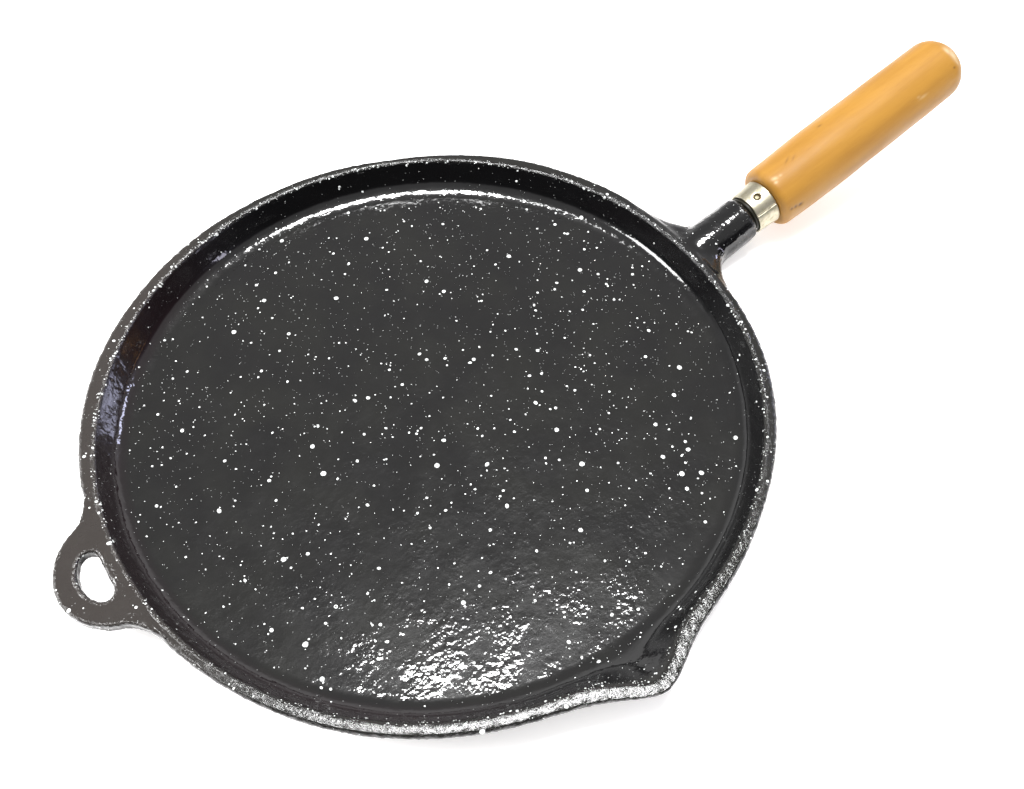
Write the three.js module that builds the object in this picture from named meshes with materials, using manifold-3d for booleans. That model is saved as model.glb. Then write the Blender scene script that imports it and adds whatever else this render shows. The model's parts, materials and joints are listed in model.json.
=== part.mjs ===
// Cast griddle pan with a pouring lip, a hanging ear and a turned wooden grip.
// Millimetres, +Z up. The origin is the middle of the flat base, and the handle points along +X.

import * as THREE from "three";
import { mergeVertices } from "three/addons/utils/BufferGeometryUtils.js";
import Module from "manifold-3d";

const wasm = await Module();
wasm.setup();

const degrees = THREE.MathUtils.degToRad;
const lerp = THREE.MathUtils.lerp;

// Driving dimensions of the dish
const RIM_RADIUS = 140;
const RIM_HEIGHT = 18.5;
const FLOOR_THICKNESS = 4.5;
const WALL_THICKNESS = 4.8;
const WALL_SLOPE = degrees(24);
const BASE_FILLET = 6;
const FOOT_FILLET = 9;
const RIM_OUTER_ROUND = 1.2;
const RIM_INNER_ROUND = 2;

// Pouring lip, a bell-shaped bulge of the wall on the side to the right of the handle
const LIP_AZIMUTH = degrees(-91);
const LIP_REACH = 11.2;
const LIP_HALF_WIDTH = 14;
const LIP_TROUGH_REACH = 10;
const LIP_TROUGH_HALF_WIDTH = 11.5;
const LIP_SHARPNESS = 1.7;
const LIP_RISE_POWER = 1.2;
const LIP_CROWDING = 0.45;

// Hanging ear, a flat plate across from the handle with a D-shaped hole
const EAR_RADIUS = 24.5;
const EAR_CENTRE_INSET = 4.6;
const EAR_THICKNESS = 5;
const EAR_EDGE_ROUND = 1.2;
const EAR_ARC_END = degrees(68);
const EAR_NECK_SPREAD = degrees(15.5);
const EAR_NECK_PULL_OUTER = 4;
const EAR_NECK_PULL_RIM = 9;
const EAR_HOLE_RADIUS = 15.7;
const EAR_HOLE_FLAT = 6;
const EAR_HOLE_CORNER = 3.7;

// Handle boss, cast in one with the dish
const HANDLE_TILT = degrees(15.5);
const HANDLE_AXIS_HEIGHT = 6.3;
const BOSS_LENGTH = 35.8;
const BOSS_ROOT_RADIUS = 11.7;
const BOSS_END_RADIUS = 10.9;
const BOSS_END_ROUND = 3;
const BOSS_UNDERSIDE = 0.8;
const WEB_END = 20;
const WEB_SPREAD = degrees(17);
const WEB_PULL_RIM = 18;
const WEB_PULL_BOSS = 12;
const WEB_TOP_DROP = 0.3;
const WEB_FOOT = 12.5;
const WEB_SQUARENESS = 6;
const SOCKET_DEPTH = 22.8;

// Ferrule, a rolled steel band with a butt seam, wider towards the grip and held by one brad
const FERRULE_FRONT_RADIUS = 10.3;
const FERRULE_REAR_RADIUS = 11.1;
const FERRULE_WALL = 0.9;
const FERRULE_LENGTH = 11.1;
const FERRULE_SETBACK = 1.5;
const FERRULE_EDGE_ROUND = 0.35;
const SEAM_GAP = 0.4;
const SEAM_ANGLE = degrees(-52);
const BRAD_HEAD_RADIUS = 1.5;
const BRAD_HEAD_HEIGHT = 0.8;
const BRAD_SHANK_RADIUS = 0.8;
const BRAD_SHANK_LENGTH = 4.2;
const BRAD_ALONG_FERRULE = 5.4;
const BRAD_ANGLE = degrees(-9);

// Grip, turned from one piece of wood
const GRIP_LENGTH = 117.6;
const GRIP_FRONT_RADIUS = 15.5;
const GRIP_BELLY_RADIUS = 15.95;
const GRIP_REAR_RADIUS = 15.3;
const GRIP_BELLY_PLACE = 40;
const GRIP_SHOULDER_ROUND = 3.5;
const GRIP_DOME_DEPTH = 11;
const COUNTERBORE_DEPTH = 9.5;

// Tie rod, washer and nut that draw the grip against the boss
const ROD_RADIUS = 2.5;
const ROD_POINT_CHAMFER = 0.6;
const ROD_STAND_OUT = 1.2;
const NUT_ACROSS_FLATS = 8;
const NUT_HEIGHT = 4;
const NUT_CHAMFER = 0.5;
const WASHER_RADIUS = 5;
const WASHER_THICKNESS = 1;

// Clearances between mating pieces
const SEAT_GAP = 0.3;
const SIDE_GAP = 0.3;
const COUNTERBORE_GAP = 0.4;

// Facets of round forms
const DISH_SEGMENTS = 132;
const BOSS_SEGMENTS = 36;
const GRIP_SEGMENTS = 40;
const FERRULE_SEGMENTS = 40;
const SMALL_SEGMENTS = 24;
const CORNER_STEPS = 4;
const EDGE_STEPS = 2;
const WALL_STEPS = 2;
const EAR_ARC_STEPS = 10;
const WEB_STEPS = 9;
const GRIP_STEPS = 7;
const HEX_SIDES = 6;

// Cuts run this far past the faces that they pass through
const OVERCUT = 5;

// Where the pieces of the handle meet, measured along its axis from the rim
const tenonStart = BOSS_LENGTH + SEAT_GAP;
const ferruleStart = BOSS_LENGTH + FERRULE_SETBACK;
const ferruleEnd = ferruleStart + FERRULE_LENGTH;
const gripStart = ferruleEnd + SEAT_GAP;
const gripEnd = gripStart + GRIP_LENGTH;
const counterboreFloor = gripEnd - COUNTERBORE_DEPTH;
const washerStart = counterboreFloor + SEAT_GAP;
const nutStart = washerStart + WASHER_THICKNESS + SEAT_GAP;
const rodStart = BOSS_LENGTH - SOCKET_DEPTH + SEAT_GAP;
const rodEnd = nutStart + NUT_HEIGHT + ROD_STAND_OUT;
const rodHoleRadius = ROD_RADIUS + SIDE_GAP;
const counterboreRadius = WASHER_RADIUS + COUNTERBORE_GAP;

// The handle's own frame: its +X runs along the axis, away from the pan
const handle = new THREE.Group();
handle.position.set(RIM_RADIUS, 0, HANDLE_AXIS_HEIGHT);
handle.rotation.y = -HANDLE_TILT;
handle.updateMatrix();

function makeMaterial(color, roughness, metalness) {
  return new THREE.MeshStandardMaterial({ color, roughness, metalness });
}

const enamel = makeMaterial(0x2b2a2c, 0.25, 0.1);
const bandSteel = makeMaterial(0xb9b3a2, 0.4, 0.9);
const turnedWood = makeMaterial(0xd2954d, 0.35, 0);
const rodSteel = makeMaterial(0x8f9092, 0.4, 0.9);

// Solids and cuts

function toSolid(geometry) {
  const bare = new THREE.BufferGeometry();
  bare.setAttribute("position", geometry.getAttribute("position"));
  bare.setIndex(geometry.getIndex());
  const merged = mergeVertices(bare);
  const index = merged.getIndex().array;
  const corners = [];
  for (let i = 0; i < index.length; i += 3) {
    const [a, b, c] = index.slice(i, i + 3);
    if (a !== b && b !== c && c !== a) {
      corners.push(a, b, c);
    }
  }
  const mesh = new wasm.Mesh({
    numProp: 3,
    vertProperties: new Float32Array(merged.getAttribute("position").array),
    triVerts: new Uint32Array(corners),
  });
  return new wasm.Manifold(mesh);
}

function toGeometry(solid) {
  const mesh = solid.getMesh();
  const geometry = new THREE.BufferGeometry();
  geometry.setAttribute("position", new THREE.BufferAttribute(mesh.vertProperties, mesh.numProp));
  geometry.setIndex(new THREE.BufferAttribute(mesh.triVerts, 1));
  geometry.computeVertexNormals();
  return geometry;
}

function makeMesh(name, geometry, material) {
  const mesh = new THREE.Mesh(geometry, material);
  mesh.name = name;
  return mesh;
}

// Profiles

function pointAt(radius, angle, centre = 0) {
  return new THREE.Vector2(centre + radius * Math.cos(angle), radius * Math.sin(angle));
}

// Rounds each corner that has a radius with an arc that meets both of its sides
function roundCorners(corners, steps) {
  const outline = [];
  corners.forEach(({ x, y, round = 0 }, i) => {
    const corner = new THREE.Vector2(x, y);
    if (round === 0) {
      outline.push(corner);
      return;
    }
    const before = corners[(i + corners.length - 1) % corners.length];
    const after = corners[(i + 1) % corners.length];
    const toBefore = new THREE.Vector2(before.x - x, before.y - y).normalize();
    const toAfter = new THREE.Vector2(after.x - x, after.y - y).normalize();
    const halfAngle = Math.acos(toBefore.dot(toAfter)) / 2;
    const middle = toBefore.clone().add(toAfter).normalize();
    const centre = corner.clone().addScaledVector(middle, round / Math.sin(halfAngle));
    const tangent = round / Math.tan(halfAngle);
    const from = corner.clone().addScaledVector(toBefore, tangent).sub(centre);
    const sweep = (Math.PI - 2 * halfAngle) * Math.sign(toAfter.cross(toBefore));
    for (let step = 0; step <= steps; step++) {
      const turned = from.clone().rotateAround(new THREE.Vector2(), (sweep * step) / steps);
      outline.push(turned.add(centre));
    }
  });
  return outline;
}

// Adds evenly spaced points to the long side that starts at the given point
function divideSide(outline, start, steps) {
  const from = outline[start];
  const to = outline[start + 1];
  const between = [];
  for (let step = 1; step < steps; step++) {
    between.push(from.clone().lerp(to, step / steps));
  }
  outline.splice(start + 1, 0, ...between);
  return outline;
}

// Revolves points of (radius, height) about the upright axis
function revolveUpright(outline, segments) {
  return new THREE.LatheGeometry(outline, segments).rotateX(Math.PI / 2);
}

// Revolves points of (radius, distance) about the handle's axis, in the handle's frame
function revolveAlong(outline, segments) {
  return new THREE.LatheGeometry(outline, segments).rotateZ(-Math.PI / 2);
}

// A plain rod about the handle's axis
function axialRod(radius, from, to, segments = SMALL_SEGMENTS) {
  const rod = new THREE.CylinderGeometry(radius, radius, to - from, segments);
  return rod.rotateZ(-Math.PI / 2).translate((from + to) / 2, 0, 0);
}

// The dish

// Horizontal run of the sloping wall over a rise
function wallRun(rise) {
  return rise * Math.tan(WALL_SLOPE);
}

// Rounding the sharp outer corner of the rim draws it in, so the corner itself lies further out
const rimCornerHalfAngle = (Math.PI / 2 - WALL_SLOPE) / 2;
const rimCornerRadius = RIM_RADIUS + RIM_OUTER_ROUND * (1 / Math.tan(rimCornerHalfAngle) - 1);
const wallAcross = WALL_THICKNESS / Math.cos(WALL_SLOPE);

function outerSolid() {
  const outline = roundCorners(
    [
      { x: 0, y: 0 },
      { x: rimCornerRadius - wallRun(RIM_HEIGHT), y: 0, round: BASE_FILLET },
      { x: rimCornerRadius, y: RIM_HEIGHT, round: RIM_OUTER_ROUND },
      { x: 0, y: RIM_HEIGHT },
    ],
    CORNER_STEPS,
  );
  const wallStart = CORNER_STEPS + 1;
  divideSide(outline, wallStart, WALL_STEPS);
  const geometry = revolveUpright(outline, DISH_SEGMENTS);
  return toSolid(pushLip(geometry, 0, LIP_REACH, LIP_HALF_WIDTH));
}

function cavitySolid() {
  const top = RIM_HEIGHT + OVERCUT;
  const innerRim = rimCornerRadius - wallAcross;
  const innerFoot = innerRim - wallRun(RIM_HEIGHT - FLOOR_THICKNESS);
  const outline = roundCorners(
    [
      { x: 0, y: FLOOR_THICKNESS },
      { x: innerFoot, y: FLOOR_THICKNESS, round: FOOT_FILLET },
      { x: innerRim, y: RIM_HEIGHT, round: RIM_INNER_ROUND },
      { x: rimCornerRadius, y: RIM_HEIGHT },
    ],
    CORNER_STEPS,
  );
  outline.pop();
  const wallStart = CORNER_STEPS + 1;
  divideSide(outline, wallStart, WALL_STEPS);
  const mouth = outline[outline.length - 1].x;
  outline.push(new THREE.Vector2(mouth, top), new THREE.Vector2(0, top));
  const geometry = revolveUpright(outline, DISH_SEGMENTS);
  return toSolid(pushLip(geometry, FLOOR_THICKNESS, LIP_TROUGH_REACH, LIP_TROUGH_HALF_WIDTH));
}

// Moves a revolved wall outwards at the pouring lip, most at the rim and not at all at its foot.
// The revolved points are first crowded towards the lip, where the curves are tight.
function pushLip(geometry, foot, reach, halfWidth) {
  const position = geometry.getAttribute("position");
  for (let i = 0; i < position.count; i++) {
    const x = position.getX(i);
    const y = position.getY(i);
    const z = position.getZ(i);
    const fromLip = Math.atan2(y, x) - LIP_AZIMUTH;
    const turn = Math.atan2(Math.sin(fromLip), Math.cos(fromLip));
    const crowded = turn - LIP_CROWDING * Math.sin(turn);
    const bell = Math.pow(0.5, Math.pow((Math.abs(crowded) * RIM_RADIUS) / halfWidth, LIP_SHARPNESS));
    const rise = THREE.MathUtils.clamp((z - foot) / (RIM_HEIGHT - foot), 0, 1);
    const radius = Math.hypot(x, y);
    const pushed = radius > 0 ? radius + reach * bell * Math.pow(rise, LIP_RISE_POWER) : 0;
    const place = pointAt(pushed, LIP_AZIMUTH + crowded);
    position.setXYZ(i, place.x, place.y, z);
  }
  return geometry;
}

// The ear, drawn with its own +X pointing away from the pan

const earCentre = RIM_RADIUS - EAR_CENTRE_INSET;
const earRoot = rimCornerRadius - wallAcross / 2 - wallRun(EAR_THICKNESS);

function earOutline() {
  const arcEnd = pointAt(EAR_RADIUS, EAR_ARC_END, earCentre);
  const rimEnd = pointAt(RIM_RADIUS, EAR_NECK_SPREAD);
  const leaveArc = pointAt(EAR_NECK_PULL_OUTER, EAR_ARC_END + Math.PI / 2).add(arcEnd);
  const reachRim = pointAt(EAR_NECK_PULL_RIM, EAR_NECK_SPREAD - Math.PI / 2).add(rimEnd);
  const root = pointAt(earRoot, EAR_NECK_SPREAD);
  const shape = new THREE.Shape();
  shape.moveTo(root.x, -root.y);
  shape.lineTo(rimEnd.x, -rimEnd.y);
  shape.bezierCurveTo(reachRim.x, -reachRim.y, leaveArc.x, -leaveArc.y, arcEnd.x, -arcEnd.y);
  shape.absarc(earCentre, 0, EAR_RADIUS, -EAR_ARC_END, EAR_ARC_END, false);
  shape.bezierCurveTo(leaveArc.x, leaveArc.y, reachRim.x, reachRim.y, rimEnd.x, rimEnd.y);
  shape.lineTo(root.x, root.y);
  shape.closePath();
  return shape;
}

function earHole() {
  const cornerReach = EAR_HOLE_RADIUS - EAR_HOLE_CORNER;
  const cornerX = EAR_HOLE_FLAT + EAR_HOLE_CORNER;
  const cornerY = Math.sqrt(cornerReach ** 2 - cornerX ** 2);
  const turn = Math.atan2(cornerY, cornerX);
  const path = new THREE.Path();
  path.moveTo(earCentre + EAR_HOLE_FLAT, -cornerY);
  path.lineTo(earCentre + EAR_HOLE_FLAT, cornerY);
  path.absarc(earCentre + cornerX, cornerY, EAR_HOLE_CORNER, Math.PI, turn, true);
  path.absarc(earCentre, 0, EAR_HOLE_RADIUS, turn, -turn, true);
  path.absarc(earCentre + cornerX, -cornerY, EAR_HOLE_CORNER, -turn, -Math.PI, true);
  return path;
}

function earSolid() {
  const shape = earOutline();
  shape.holes.push(earHole());
  const plate = new THREE.ExtrudeGeometry(shape, {
    depth: EAR_THICKNESS - 2 * EAR_EDGE_ROUND,
    curveSegments: EAR_ARC_STEPS,
    bevelSize: EAR_EDGE_ROUND,
    bevelThickness: EAR_EDGE_ROUND,
    bevelOffset: -EAR_EDGE_ROUND,
    bevelSegments: EDGE_STEPS,
  });
  plate.translate(0, 0, RIM_HEIGHT - EAR_THICKNESS + EAR_EDGE_ROUND);
  return toSolid(plate.rotateZ(Math.PI));
}

// The boss

// Joins rings of equal point counts into one closed skin
function loft(rings) {
  const count = rings[0].length;
  const points = rings.flat();
  const triangles = [];
  for (let ring = 0; ring < rings.length - 1; ring++) {
    for (let i = 0; i < count; i++) {
      const a = ring * count + i;
      const b = ring * count + ((i + 1) % count);
      triangles.push(a, b, a + count, b, b + count, a + count);
    }
  }
  const lastRing = (rings.length - 1) * count;
  for (let i = 1; i < count - 1; i++) {
    triangles.push(0, i + 1, i);
    triangles.push(lastRing, lastRing + i, lastRing + i + 1);
  }
  const geometry = new THREE.BufferGeometry().setFromPoints(points);
  geometry.setIndex(triangles);
  return geometry;
}

// One section of the boss: a rounded ring about a centre, squarer as its power grows
function bossRing({ centre, up, halfWidth, halfHeight, power }) {
  const ring = [];
  for (let i = 0; i < BOSS_SEGMENTS; i++) {
    const angle = (2 * Math.PI * i) / BOSS_SEGMENTS;
    const across = Math.cos(angle);
    const along = Math.sin(angle);
    const y = Math.sign(across) * Math.pow(Math.abs(across), 2 / power) * halfWidth;
    const v = Math.sign(along) * Math.pow(Math.abs(along), 2 / power) * halfHeight;
    ring.push(centre.clone().addScaledVector(up, v).add(new THREE.Vector3(0, y, 0)));
  }
  return ring;
}

function bossRadiusAt(along) {
  return lerp(BOSS_ROOT_RADIUS, BOSS_END_RADIUS, along / BOSS_LENGTH);
}

// Upright sections that spread from the round boss into the rim
function webRings() {
  const rim = pointAt(RIM_RADIUS, WEB_SPREAD);
  const along = new THREE.Vector2(RIM_RADIUS + WEB_END * Math.cos(HANDLE_TILT), bossRadiusAt(WEB_END));
  const flank = new THREE.CubicBezierCurve(
    rim,
    pointAt(WEB_PULL_RIM, WEB_SPREAD - Math.PI / 2).add(rim),
    new THREE.Vector2(along.x - WEB_PULL_BOSS, along.y),
    along,
  );
  return flank.getPoints(WEB_STEPS).map(({ x, y }, step) => {
    const share = step / WEB_STEPS;
    const axisHeight = HANDLE_AXIS_HEIGHT + (x - RIM_RADIUS) * Math.tan(HANDLE_TILT);
    const radius = bossRadiusAt((x - RIM_RADIUS) / Math.cos(HANDLE_TILT)) / Math.cos(HANDLE_TILT);
    const top = Math.max(RIM_HEIGHT - WEB_TOP_DROP, axisHeight + radius);
    const bottom = Math.max(lerp(WEB_FOOT, BOSS_UNDERSIDE, share), axisHeight - radius);
    return bossRing({
      centre: new THREE.Vector3(x, 0, (top + bottom) / 2),
      up: new THREE.Vector3(0, 0, 1),
      halfWidth: y,
      halfHeight: (top - bottom) / 2,
      power: lerp(WEB_SQUARENESS, 2, Math.sqrt(share)),
    });
  });
}

// Round sections square to the axis, ending in a rounded edge
function barrelRings() {
  const roundStart = BOSS_LENGTH - BOSS_END_ROUND;
  const places = [{ along: (WEB_END + roundStart) / 2, shrink: 0 }];
  for (let step = 0; step <= CORNER_STEPS; step++) {
    const turn = (Math.PI / 2) * (step / CORNER_STEPS);
    places.push({
      along: roundStart + BOSS_END_ROUND * Math.sin(turn),
      shrink: BOSS_END_ROUND * (1 - Math.cos(turn)),
    });
  }
  const up = new THREE.Vector3(0, 0, 1).applyEuler(handle.rotation);
  return places.map(({ along, shrink }) => {
    const radius = bossRadiusAt(along) - shrink;
    const centre = new THREE.Vector3(along, 0, 0).applyMatrix4(handle.matrix);
    return bossRing({ centre, up, halfWidth: radius, halfHeight: radius, power: 2 });
  });
}

function bossSolid() {
  return toSolid(loft([...webRings(), ...barrelRings()]));
}

function panCasting() {
  const socket = axialRod(rodHoleRadius, BOSS_LENGTH - SOCKET_DEPTH, BOSS_LENGTH + OVERCUT);
  const casting = outerSolid()
    .add(earSolid())
    .add(bossSolid())
    .subtract(cavitySolid())
    .subtract(toSolid(socket.applyMatrix4(handle.matrix)));
  return makeMesh("pan_casting", toGeometry(casting), enamel);
}

// The ferrule and its brad

// A rod that stands square to the handle's axis, at an angle from its upper side
function radialRod(radius, from, to, along, angle) {
  const rod = new THREE.CylinderGeometry(radius, radius, to - from, SMALL_SEGMENTS);
  return rod.rotateX(Math.PI / 2).translate(along, 0, (from + to) / 2).rotateX(-angle);
}

function ferruleRadiusAt(along) {
  return lerp(FERRULE_FRONT_RADIUS, FERRULE_REAR_RADIUS, (along - ferruleStart) / FERRULE_LENGTH);
}

const bradPlace = ferruleStart + BRAD_ALONG_FERRULE;
const bradHeadTop = ferruleRadiusAt(bradPlace);
const bradHeadUnder = bradHeadTop - BRAD_HEAD_HEIGHT;
const bradTip = bradHeadUnder - BRAD_SHANK_LENGTH;

function ferrule() {
  const band = roundCorners(
    [
      { x: FERRULE_FRONT_RADIUS - FERRULE_WALL, y: ferruleStart },
      { x: FERRULE_FRONT_RADIUS, y: ferruleStart, round: FERRULE_EDGE_ROUND },
      { x: FERRULE_REAR_RADIUS, y: ferruleEnd, round: FERRULE_EDGE_ROUND },
      { x: FERRULE_REAR_RADIUS - FERRULE_WALL, y: ferruleEnd },
    ],
    EDGE_STEPS,
  );
  band.push(band[0].clone());
  const seam = new THREE.BoxGeometry(FERRULE_LENGTH + OVERCUT, SEAM_GAP, FERRULE_REAR_RADIUS);
  seam.translate((ferruleStart + ferruleEnd) / 2, 0, FERRULE_REAR_RADIUS).rotateX(-SEAM_ANGLE);
  const hole = radialRod(BRAD_HEAD_RADIUS + SIDE_GAP, 0, bradHeadTop + OVERCUT, bradPlace, BRAD_ANGLE);
  const solid = toSolid(revolveAlong(band, FERRULE_SEGMENTS)).subtract(toSolid(seam)).subtract(toSolid(hole));
  return makeMesh("ferrule", toGeometry(solid), bandSteel);
}

function ferruleBrad() {
  const head = radialRod(BRAD_HEAD_RADIUS, bradHeadUnder, bradHeadTop, bradPlace, BRAD_ANGLE);
  const shank = radialRod(BRAD_SHANK_RADIUS, bradTip, bradHeadTop - BRAD_HEAD_HEIGHT / 2, bradPlace, BRAD_ANGLE);
  return makeMesh("ferrule_brad", toGeometry(toSolid(head).add(toSolid(shank))), rodSteel);
}

// The grip

// Radius of the grip's long side, from its shoulder to where its domed end starts
function gripSide() {
  const front = new THREE.Vector2(GRIP_FRONT_RADIUS, gripStart + GRIP_SHOULDER_ROUND);
  const belly = new THREE.Vector2(GRIP_BELLY_RADIUS, gripStart + GRIP_BELLY_PLACE);
  const rear = new THREE.Vector2(GRIP_REAR_RADIUS, gripEnd - GRIP_DOME_DEPTH);
  return new THREE.SplineCurve([front, belly, rear]).getPoints(GRIP_STEPS);
}

function gripDome() {
  const points = [];
  const last = Math.acos(counterboreRadius / GRIP_REAR_RADIUS);
  for (let step = 1; step <= GRIP_STEPS; step++) {
    const turn = (last * step) / GRIP_STEPS;
    const along = gripEnd - GRIP_DOME_DEPTH * (1 - Math.sin(turn) / Math.sin(last));
    points.push(new THREE.Vector2(GRIP_REAR_RADIUS * Math.cos(turn), along));
  }
  return points;
}

function gripShoulder() {
  const points = [];
  for (let step = 0; step < CORNER_STEPS; step++) {
    const turn = (Math.PI / 2) * (step / CORNER_STEPS);
    const radius = GRIP_FRONT_RADIUS - GRIP_SHOULDER_ROUND * (1 - Math.sin(turn));
    points.push(new THREE.Vector2(radius, gripStart + GRIP_SHOULDER_ROUND * (1 - Math.cos(turn))));
  }
  return points;
}

// The tenon fills the ferrule and stands out of its front, up to the boss
function tenonRadiusAt(along) {
  return ferruleRadiusAt(along) - FERRULE_WALL - SIDE_GAP;
}

function grip() {
  const outline = [
    new THREE.Vector2(rodHoleRadius, tenonStart),
    new THREE.Vector2(tenonRadiusAt(tenonStart), tenonStart),
    new THREE.Vector2(tenonRadiusAt(gripStart), gripStart),
    ...gripShoulder(),
    ...gripSide(),
    ...gripDome(),
    new THREE.Vector2(counterboreRadius, counterboreFloor),
    new THREE.Vector2(rodHoleRadius, counterboreFloor),
  ];
  outline.push(outline[0].clone());
  const pilotTop = tenonRadiusAt(gripStart) + OVERCUT;
  const pilot = radialRod(BRAD_SHANK_RADIUS + SIDE_GAP, bradTip - SEAT_GAP, pilotTop, bradPlace, BRAD_ANGLE);
  const headSeatFloor = bradHeadUnder - SEAT_GAP;
  const headSeat = radialRod(BRAD_HEAD_RADIUS + SIDE_GAP, headSeatFloor, pilotTop, bradPlace, BRAD_ANGLE);
  const solid = toSolid(revolveAlong(outline, GRIP_SEGMENTS)).subtract(toSolid(pilot)).subtract(toSolid(headSeat));
  return makeMesh("grip", toGeometry(solid), turnedWood);
}

// The rod, washer and nut

function tieRod() {
  const outline = [
    new THREE.Vector2(0, rodStart),
    new THREE.Vector2(ROD_RADIUS - ROD_POINT_CHAMFER, rodStart),
    new THREE.Vector2(ROD_RADIUS, rodStart + ROD_POINT_CHAMFER),
    new THREE.Vector2(ROD_RADIUS, rodEnd - ROD_POINT_CHAMFER),
    new THREE.Vector2(ROD_RADIUS - ROD_POINT_CHAMFER, rodEnd),
    new THREE.Vector2(0, rodEnd),
  ];
  return makeMesh("tie_rod", toGeometry(toSolid(revolveAlong(outline, SMALL_SEGMENTS))), rodSteel);
}

function endWasher() {
  const disc = toSolid(axialRod(WASHER_RADIUS, washerStart, washerStart + WASHER_THICKNESS));
  const hole = toSolid(axialRod(rodHoleRadius, washerStart - OVERCUT, nutStart + OVERCUT));
  return makeMesh("end_washer", toGeometry(disc.subtract(hole)), rodSteel);
}

function endNut() {
  const nutEnd = nutStart + NUT_HEIGHT;
  const cornerRadius = NUT_ACROSS_FLATS / 2 / Math.cos(Math.PI / HEX_SIDES);
  const crownRadius = NUT_ACROSS_FLATS / 2;
  const hexagon = toSolid(axialRod(cornerRadius, nutStart, nutEnd, HEX_SIDES));
  const envelope = revolveAlong(
    [
      new THREE.Vector2(0, nutStart),
      new THREE.Vector2(cornerRadius, nutStart),
      new THREE.Vector2(cornerRadius, nutEnd - NUT_CHAMFER),
      new THREE.Vector2(crownRadius, nutEnd),
      new THREE.Vector2(0, nutEnd),
    ],
    SMALL_SEGMENTS,
  );
  const hole = toSolid(axialRod(rodHoleRadius, washerStart, nutEnd + OVERCUT));
  return makeMesh("end_nut", toGeometry(hexagon.intersect(toSolid(envelope)).subtract(hole)), rodSteel);
}

const griddlePan = new THREE.Group();
griddlePan.add(panCasting(), handle);
handle.add(ferrule(), ferruleBrad(), grip(), tieRod(), endWasher(), endNut());

export default griddlePan;
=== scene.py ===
"""Looks of a cast and enamelled griddle pan with a pouring lip, a hanging ear and a turned wooden grip.

Sizes in the dataclasses are millimetres and degrees unless their name says otherwise, and meshes are made in metres.
The pan's middle is the origin, its handle points along +X and its mouth along +Z.
"""

from __future__ import annotations

import json
import logging
import math
from dataclasses import dataclass, field
from enum import Enum
from typing import Any, Mapping, Sequence, Union

import bpy
import numpy as np
from mathutils import Matrix, Vector, kdtree

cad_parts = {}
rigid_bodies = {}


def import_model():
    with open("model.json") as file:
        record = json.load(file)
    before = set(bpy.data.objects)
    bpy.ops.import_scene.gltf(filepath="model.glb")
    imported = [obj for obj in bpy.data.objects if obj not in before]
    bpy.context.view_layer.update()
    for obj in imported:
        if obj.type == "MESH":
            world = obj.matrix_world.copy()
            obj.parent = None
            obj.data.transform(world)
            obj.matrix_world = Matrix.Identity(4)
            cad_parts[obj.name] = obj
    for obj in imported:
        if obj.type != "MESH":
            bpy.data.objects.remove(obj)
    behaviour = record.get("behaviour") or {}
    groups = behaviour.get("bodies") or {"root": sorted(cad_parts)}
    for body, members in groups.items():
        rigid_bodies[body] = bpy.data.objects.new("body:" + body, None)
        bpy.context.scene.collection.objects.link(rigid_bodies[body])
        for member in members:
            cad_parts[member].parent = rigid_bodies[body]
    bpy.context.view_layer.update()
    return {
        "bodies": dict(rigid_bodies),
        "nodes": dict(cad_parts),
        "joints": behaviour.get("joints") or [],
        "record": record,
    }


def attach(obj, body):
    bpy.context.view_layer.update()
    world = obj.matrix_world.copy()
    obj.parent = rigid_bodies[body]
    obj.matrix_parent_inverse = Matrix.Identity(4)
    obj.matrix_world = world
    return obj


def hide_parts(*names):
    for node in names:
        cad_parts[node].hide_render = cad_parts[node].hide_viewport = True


LOG = logging.getLogger("griddle_pan")
MM = 0.001
BODY = "root"
UPRIGHT = (0.0, 0.0, 1.0)

Socket = bpy.types.NodeSocket
Mesh = bpy.types.Mesh
Material = bpy.types.Material
Array = np.ndarray
Pair = tuple[float, float]
Triple = tuple[float, float, float]
Inputs = Union[Mapping[str, Any], Sequence[Any]]


class Slot(Enum):
    """The record's material slots."""

    ENAMEL = "enamel"
    BAND = "ferrule_steel"
    BRAD = "brad_steel"
    WOOD = "wood"
    ROD = "rod_steel"


class Cut(Enum):
    """How one solid meets another."""

    JOIN = "UNION"
    REMOVE = "DIFFERENCE"


# Node trees


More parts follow.
